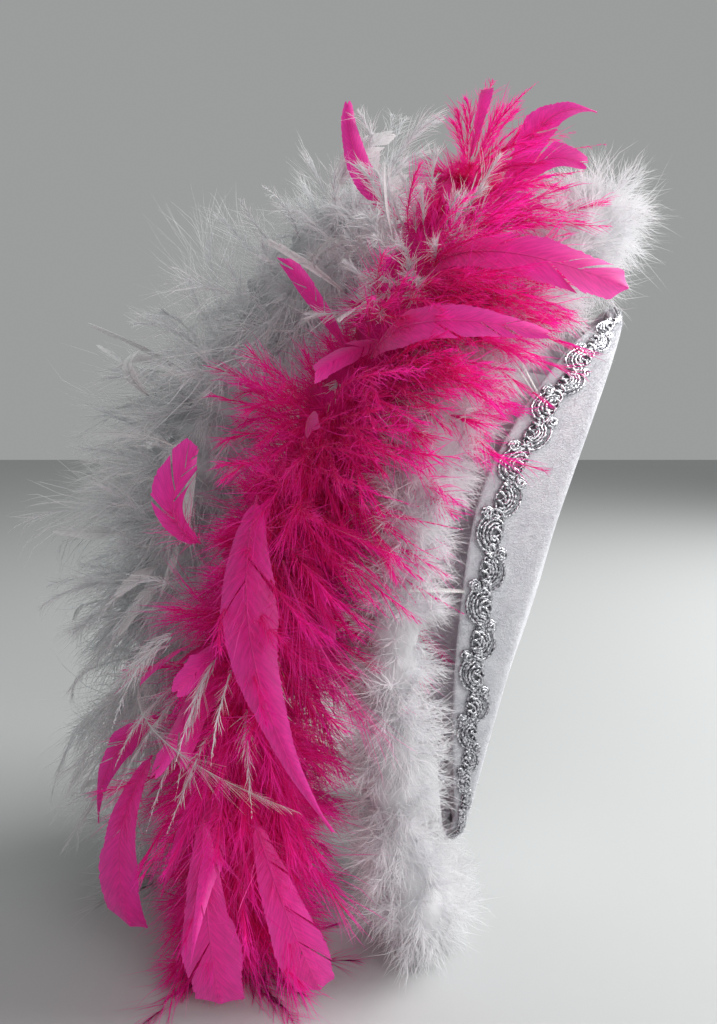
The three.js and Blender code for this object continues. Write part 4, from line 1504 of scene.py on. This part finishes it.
@dataclass
class Studio:
    """A pale floor, soft lights and the camera."""

    hat: HatFrame
    eye: Point = (-92.0, -430.0, 88.0)
    tilt: float = 6.8
    lens: float = 29.18

    def camera(self) -> None:
        """Stands the camera before the hat's corner line, tilted slightly down."""
        data = bpy.data.cameras.new("camera")
        data.lens, data.sensor_width = self.lens, 36.0
        data.clip_start, data.clip_end = 0.01, 50.0
        view = bpy.data.objects.new("camera", data)
        view.location = self.hat.origin + np.array(self.eye) / 1000
        view.rotation_euler = (math.radians(90 - self.tilt), 0, 0)
        bpy.context.scene.collection.objects.link(view)
        bpy.context.scene.camera = view

    def lamp(self, name: str, place: Point, aim: Point, size: float, watts: float) -> None:
        """Adds one soft square lamp that faces a point."""
        data = bpy.data.lights.new(name, "AREA")
        data.shape, data.size, data.energy = "SQUARE", size, watts
        lamp = bpy.data.objects.new(name, data)
        lamp.location = place
        toward = np.array(aim) - np.array(place)
        flat = math.hypot(toward[0], toward[1])
        lamp.rotation_euler = (
            math.pi / 2 + math.atan2(toward[2], flat),
            0,
            math.atan2(toward[1], toward[0]) - math.pi / 2,
        )
        bpy.context.scene.collection.objects.link(lamp)

    def floor(self) -> None:
        """Lays a pale floor under the piece."""
        points = np.array([[-4.0, -4, 0], [4, -4, 0], [4, 4, 0], [-4, 4, 0]])
        mesh = bpy.data.meshes.new("floor")
        mesh.from_pydata(points.tolist(), [], [(0, 1, 2, 3)])
        n = Nodes("floor")
        n.shade(Base_Color=(0.5, 0.51, 0.51, 1), Roughness=0.8)
        mesh.materials.append(n.material)
        floor = bpy.data.objects.new("floor", mesh)
        bpy.context.scene.collection.objects.link(floor)

    def build(self) -> None:
        """Sets the whole stage."""
        self.camera()
        self.floor()
        world = bpy.data.worlds.new("studio")
        world.use_nodes = True
        world.node_tree.nodes["Background"].inputs[0].default_value = (0.55, 0.565, 0.56, 1)
        world.node_tree.nodes["Background"].inputs[1].default_value = 0.6
        bpy.context.scene.world = world
        bpy.context.scene.view_settings.view_transform = "Standard"
        self.lamp("window", (1.3, 0.25, 1.0), (0, 0, 0.2), 1.2, 38)
        self.lamp("fill", (1.0, -1.5, 1.0), (0, 0, 0.2), 1.2, 14)


def build_hat(brim: Brim, crown: Crown, hat: HatFrame) -> None:
    """Makes the felt, the ribbon and lining inside it, and the braid on its edges.

    Args:
        brim: The two flaps.
        crown: The crown between them.
        hat: The frame that carries them into place.
    """
    wool = FeltFinish("wool_felt", (0.84, 0.84, 0.88), (0.74, 0.74, 0.79)).material()
    for node, side in (("brim_front", -1), ("brim_back", 1)):
        rng = np.random.default_rng(40 + side)
        shape = Shape.joined([brim.shape(side), brim.nap(side, 9000, rng)])
        install(f"{node}_felt", shape, wool, hat, node)
    ribbon = ClothFinish("grosgrain", (0.88, 0.87, 0.84), 1.2, 0.75, 0.3).material()
    satin = ClothFinish("satin", (0.92, 0.91, 0.88), 0.4, 0.35, 0.4).material()
    for node, shape, finish, slot in (
        ("crown_shell", crown.felt_shape(), wool, "felt"),
        ("sweatband", crown.band_shape(), ribbon, "ribbon"),
        ("crown_lining", crown.lining_shape(), satin, "satin"),
    ):
        install(f"{node}_cloth", shape, finish, hat, node)

    gimp, silver = Gimp(brim), SilverThread().material()
    for node, side in (("braid_front", -1), ("braid_back", 1)):
        install(f"{node}_gimp", gimp.shape(side), silver, hat, node)


def build_feathers(hat: HatFrame, felt: Felt) -> None:
    """Makes the three boas, the bursts and flats in them, and the plumes.

    Args:
        hat: The frame that carries them into place.
        felt: What they stay clear of.
    """
    # Each down's root colour is darker than its tip: painted shade deep inside the boa.
    white_down = DownFinish(
        "white_down", (0.7, 0.71, 0.73), (0.85, 0.86, 0.87), (0.95, 0.95, 0.95), (0.78, 0.79, 0.8)
    ).material()
    marabou_down = DownFinish(
        "marabou_down", (0.8, 0.79, 0.81), (0.86, 0.86, 0.87), (0.92, 0.92, 0.92),
        (0.82, 0.81, 0.84),
    ).material()
    pink_down = DownFinish(
        "pink_down", (0.8, 0.006, 0.24), (1.0, 0.02, 0.44), (1.0, 0.06, 0.55), (0.95, 0.012, 0.36),
        through=0.5,
    ).material()
    pink_vane = VaneFinish(
        "pink_vane", (0.98, 0.03, 0.4), (0.98, 0.02, 0.38), (1.0, 0.05, 0.47)
    ).material()
    white_vane = VaneFinish(
        "white_vane", (0.84, 0.84, 0.83), (0.87, 0.87, 0.88), (0.93, 0.93, 0.93), 0.35
    ).material()
    marabou = Boa(
        "marabou", "marabou_down", MARABOU_ROUTE, 8, 195,
        BarbCut(
            count=70, steps=3, reach=15, width=0.27, root_angle=65, tip_angle=30, loft=0.9,
            curl=0.4, wave=0.14, droop=0.05,
        ),
        marabou_down, "marabou", spread=0.66, core=0.4, fluff=0.5, seed=3,
    )
    pink = Boa(
        "pink_boa", "pink_down", PINK_ROUTE, 5, 160,
        BarbCut(
            count=86, steps=4, reach=21, width=0.36, root_angle=38, tip_angle=9, loft=0.34,
            curl=0.35, wave=0.08, droop=0.15, parting=0.16,
        ),
        pink_down, "pink_down", spread=1.3, core=0.55, crowded=0.6, hang=0.3, seed=5,
    )
    white = Boa(
        "white_boa", "white_down", WHITE_ROUTE, 4, 140,
        BarbCut(
            count=78, steps=4, reach=20, width=0.36, root_angle=42, tip_angle=10, loft=0.3,
            curl=0.4, wave=0.1, droop=0.12, parting=0.16,
        ),
        white_down, "white_down", spread=1.02, core=0.52, hang=0.25, fluff=1.6, seed=9,
    )
    for boa in (marabou, pink, white):
        boa.build(hat, felt)

    for group, vane, down in (
        (SpraySet(pink, "pink_spray", "pink_plume", PINK_SPRAYS, 31), pink_vane, pink_down),
        (SpraySet(white, "white_spray", "white_plume", WHITE_SPRAYS, 31), white_vane, white_down),
        (SpraySet(pink, "white_accent", "white_plume", WHITE_ACCENTS, 37), white_vane, white_down),
    ):
        group.build(vane, down, hat, felt)
    for flats in (
        Flats(pink, "pink_flats", "pink_plume", pink_vane, 10, 34.0, 5.5, seed=21),
        Flats(white, "white_flats", "white_plume", white_vane, 9, 34.0, 4.0, 0.8, seed=23),
    ):
        flats.build(hat, felt)
    PlumeSet(pink, "pink_plume", "pink_plume", PINK_PLUMES, pink_vane).build(hat)
    PlumeSet(white, "white_plume", "white_plume", WHITE_PLUMES, white_vane).build(hat)


def dress_threads() -> None:
    """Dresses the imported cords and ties, which stay on show."""
    cotton = ClothFinish("cotton_cord", (0.9, 0.89, 0.86), 1.6, 0.85, 0.2).material()
    dyed = ClothFinish("dyed_cord", (0.6, 0.02, 0.2), 1.6, 0.85, 0.2).material()
    thread = ClothFinish("thread", (0.92, 0.91, 0.88), 0.5, 0.6, 0.2).material()
    for node in frame["nodes"]:
        if node.endswith("_cord"):
            dress(node, dyed if node.startswith("pink") else cotton)
        elif "_tie_" in node:
            dress(node, thread)


def main() -> None:
    """Builds the sub-assemblies in order."""
    logging.basicConfig(level=logging.INFO, format="%(name)s: %(message)s")
    brim, crown = Brim(), Crown()
    hat = HatFrame.from_record(brim.seat)
    Studio(hat).build()
    build_hat(brim, crown, hat)
    build_feathers(hat, Felt(brim, crown))
    dress_threads()


if __name__ == "__main__":
    main()
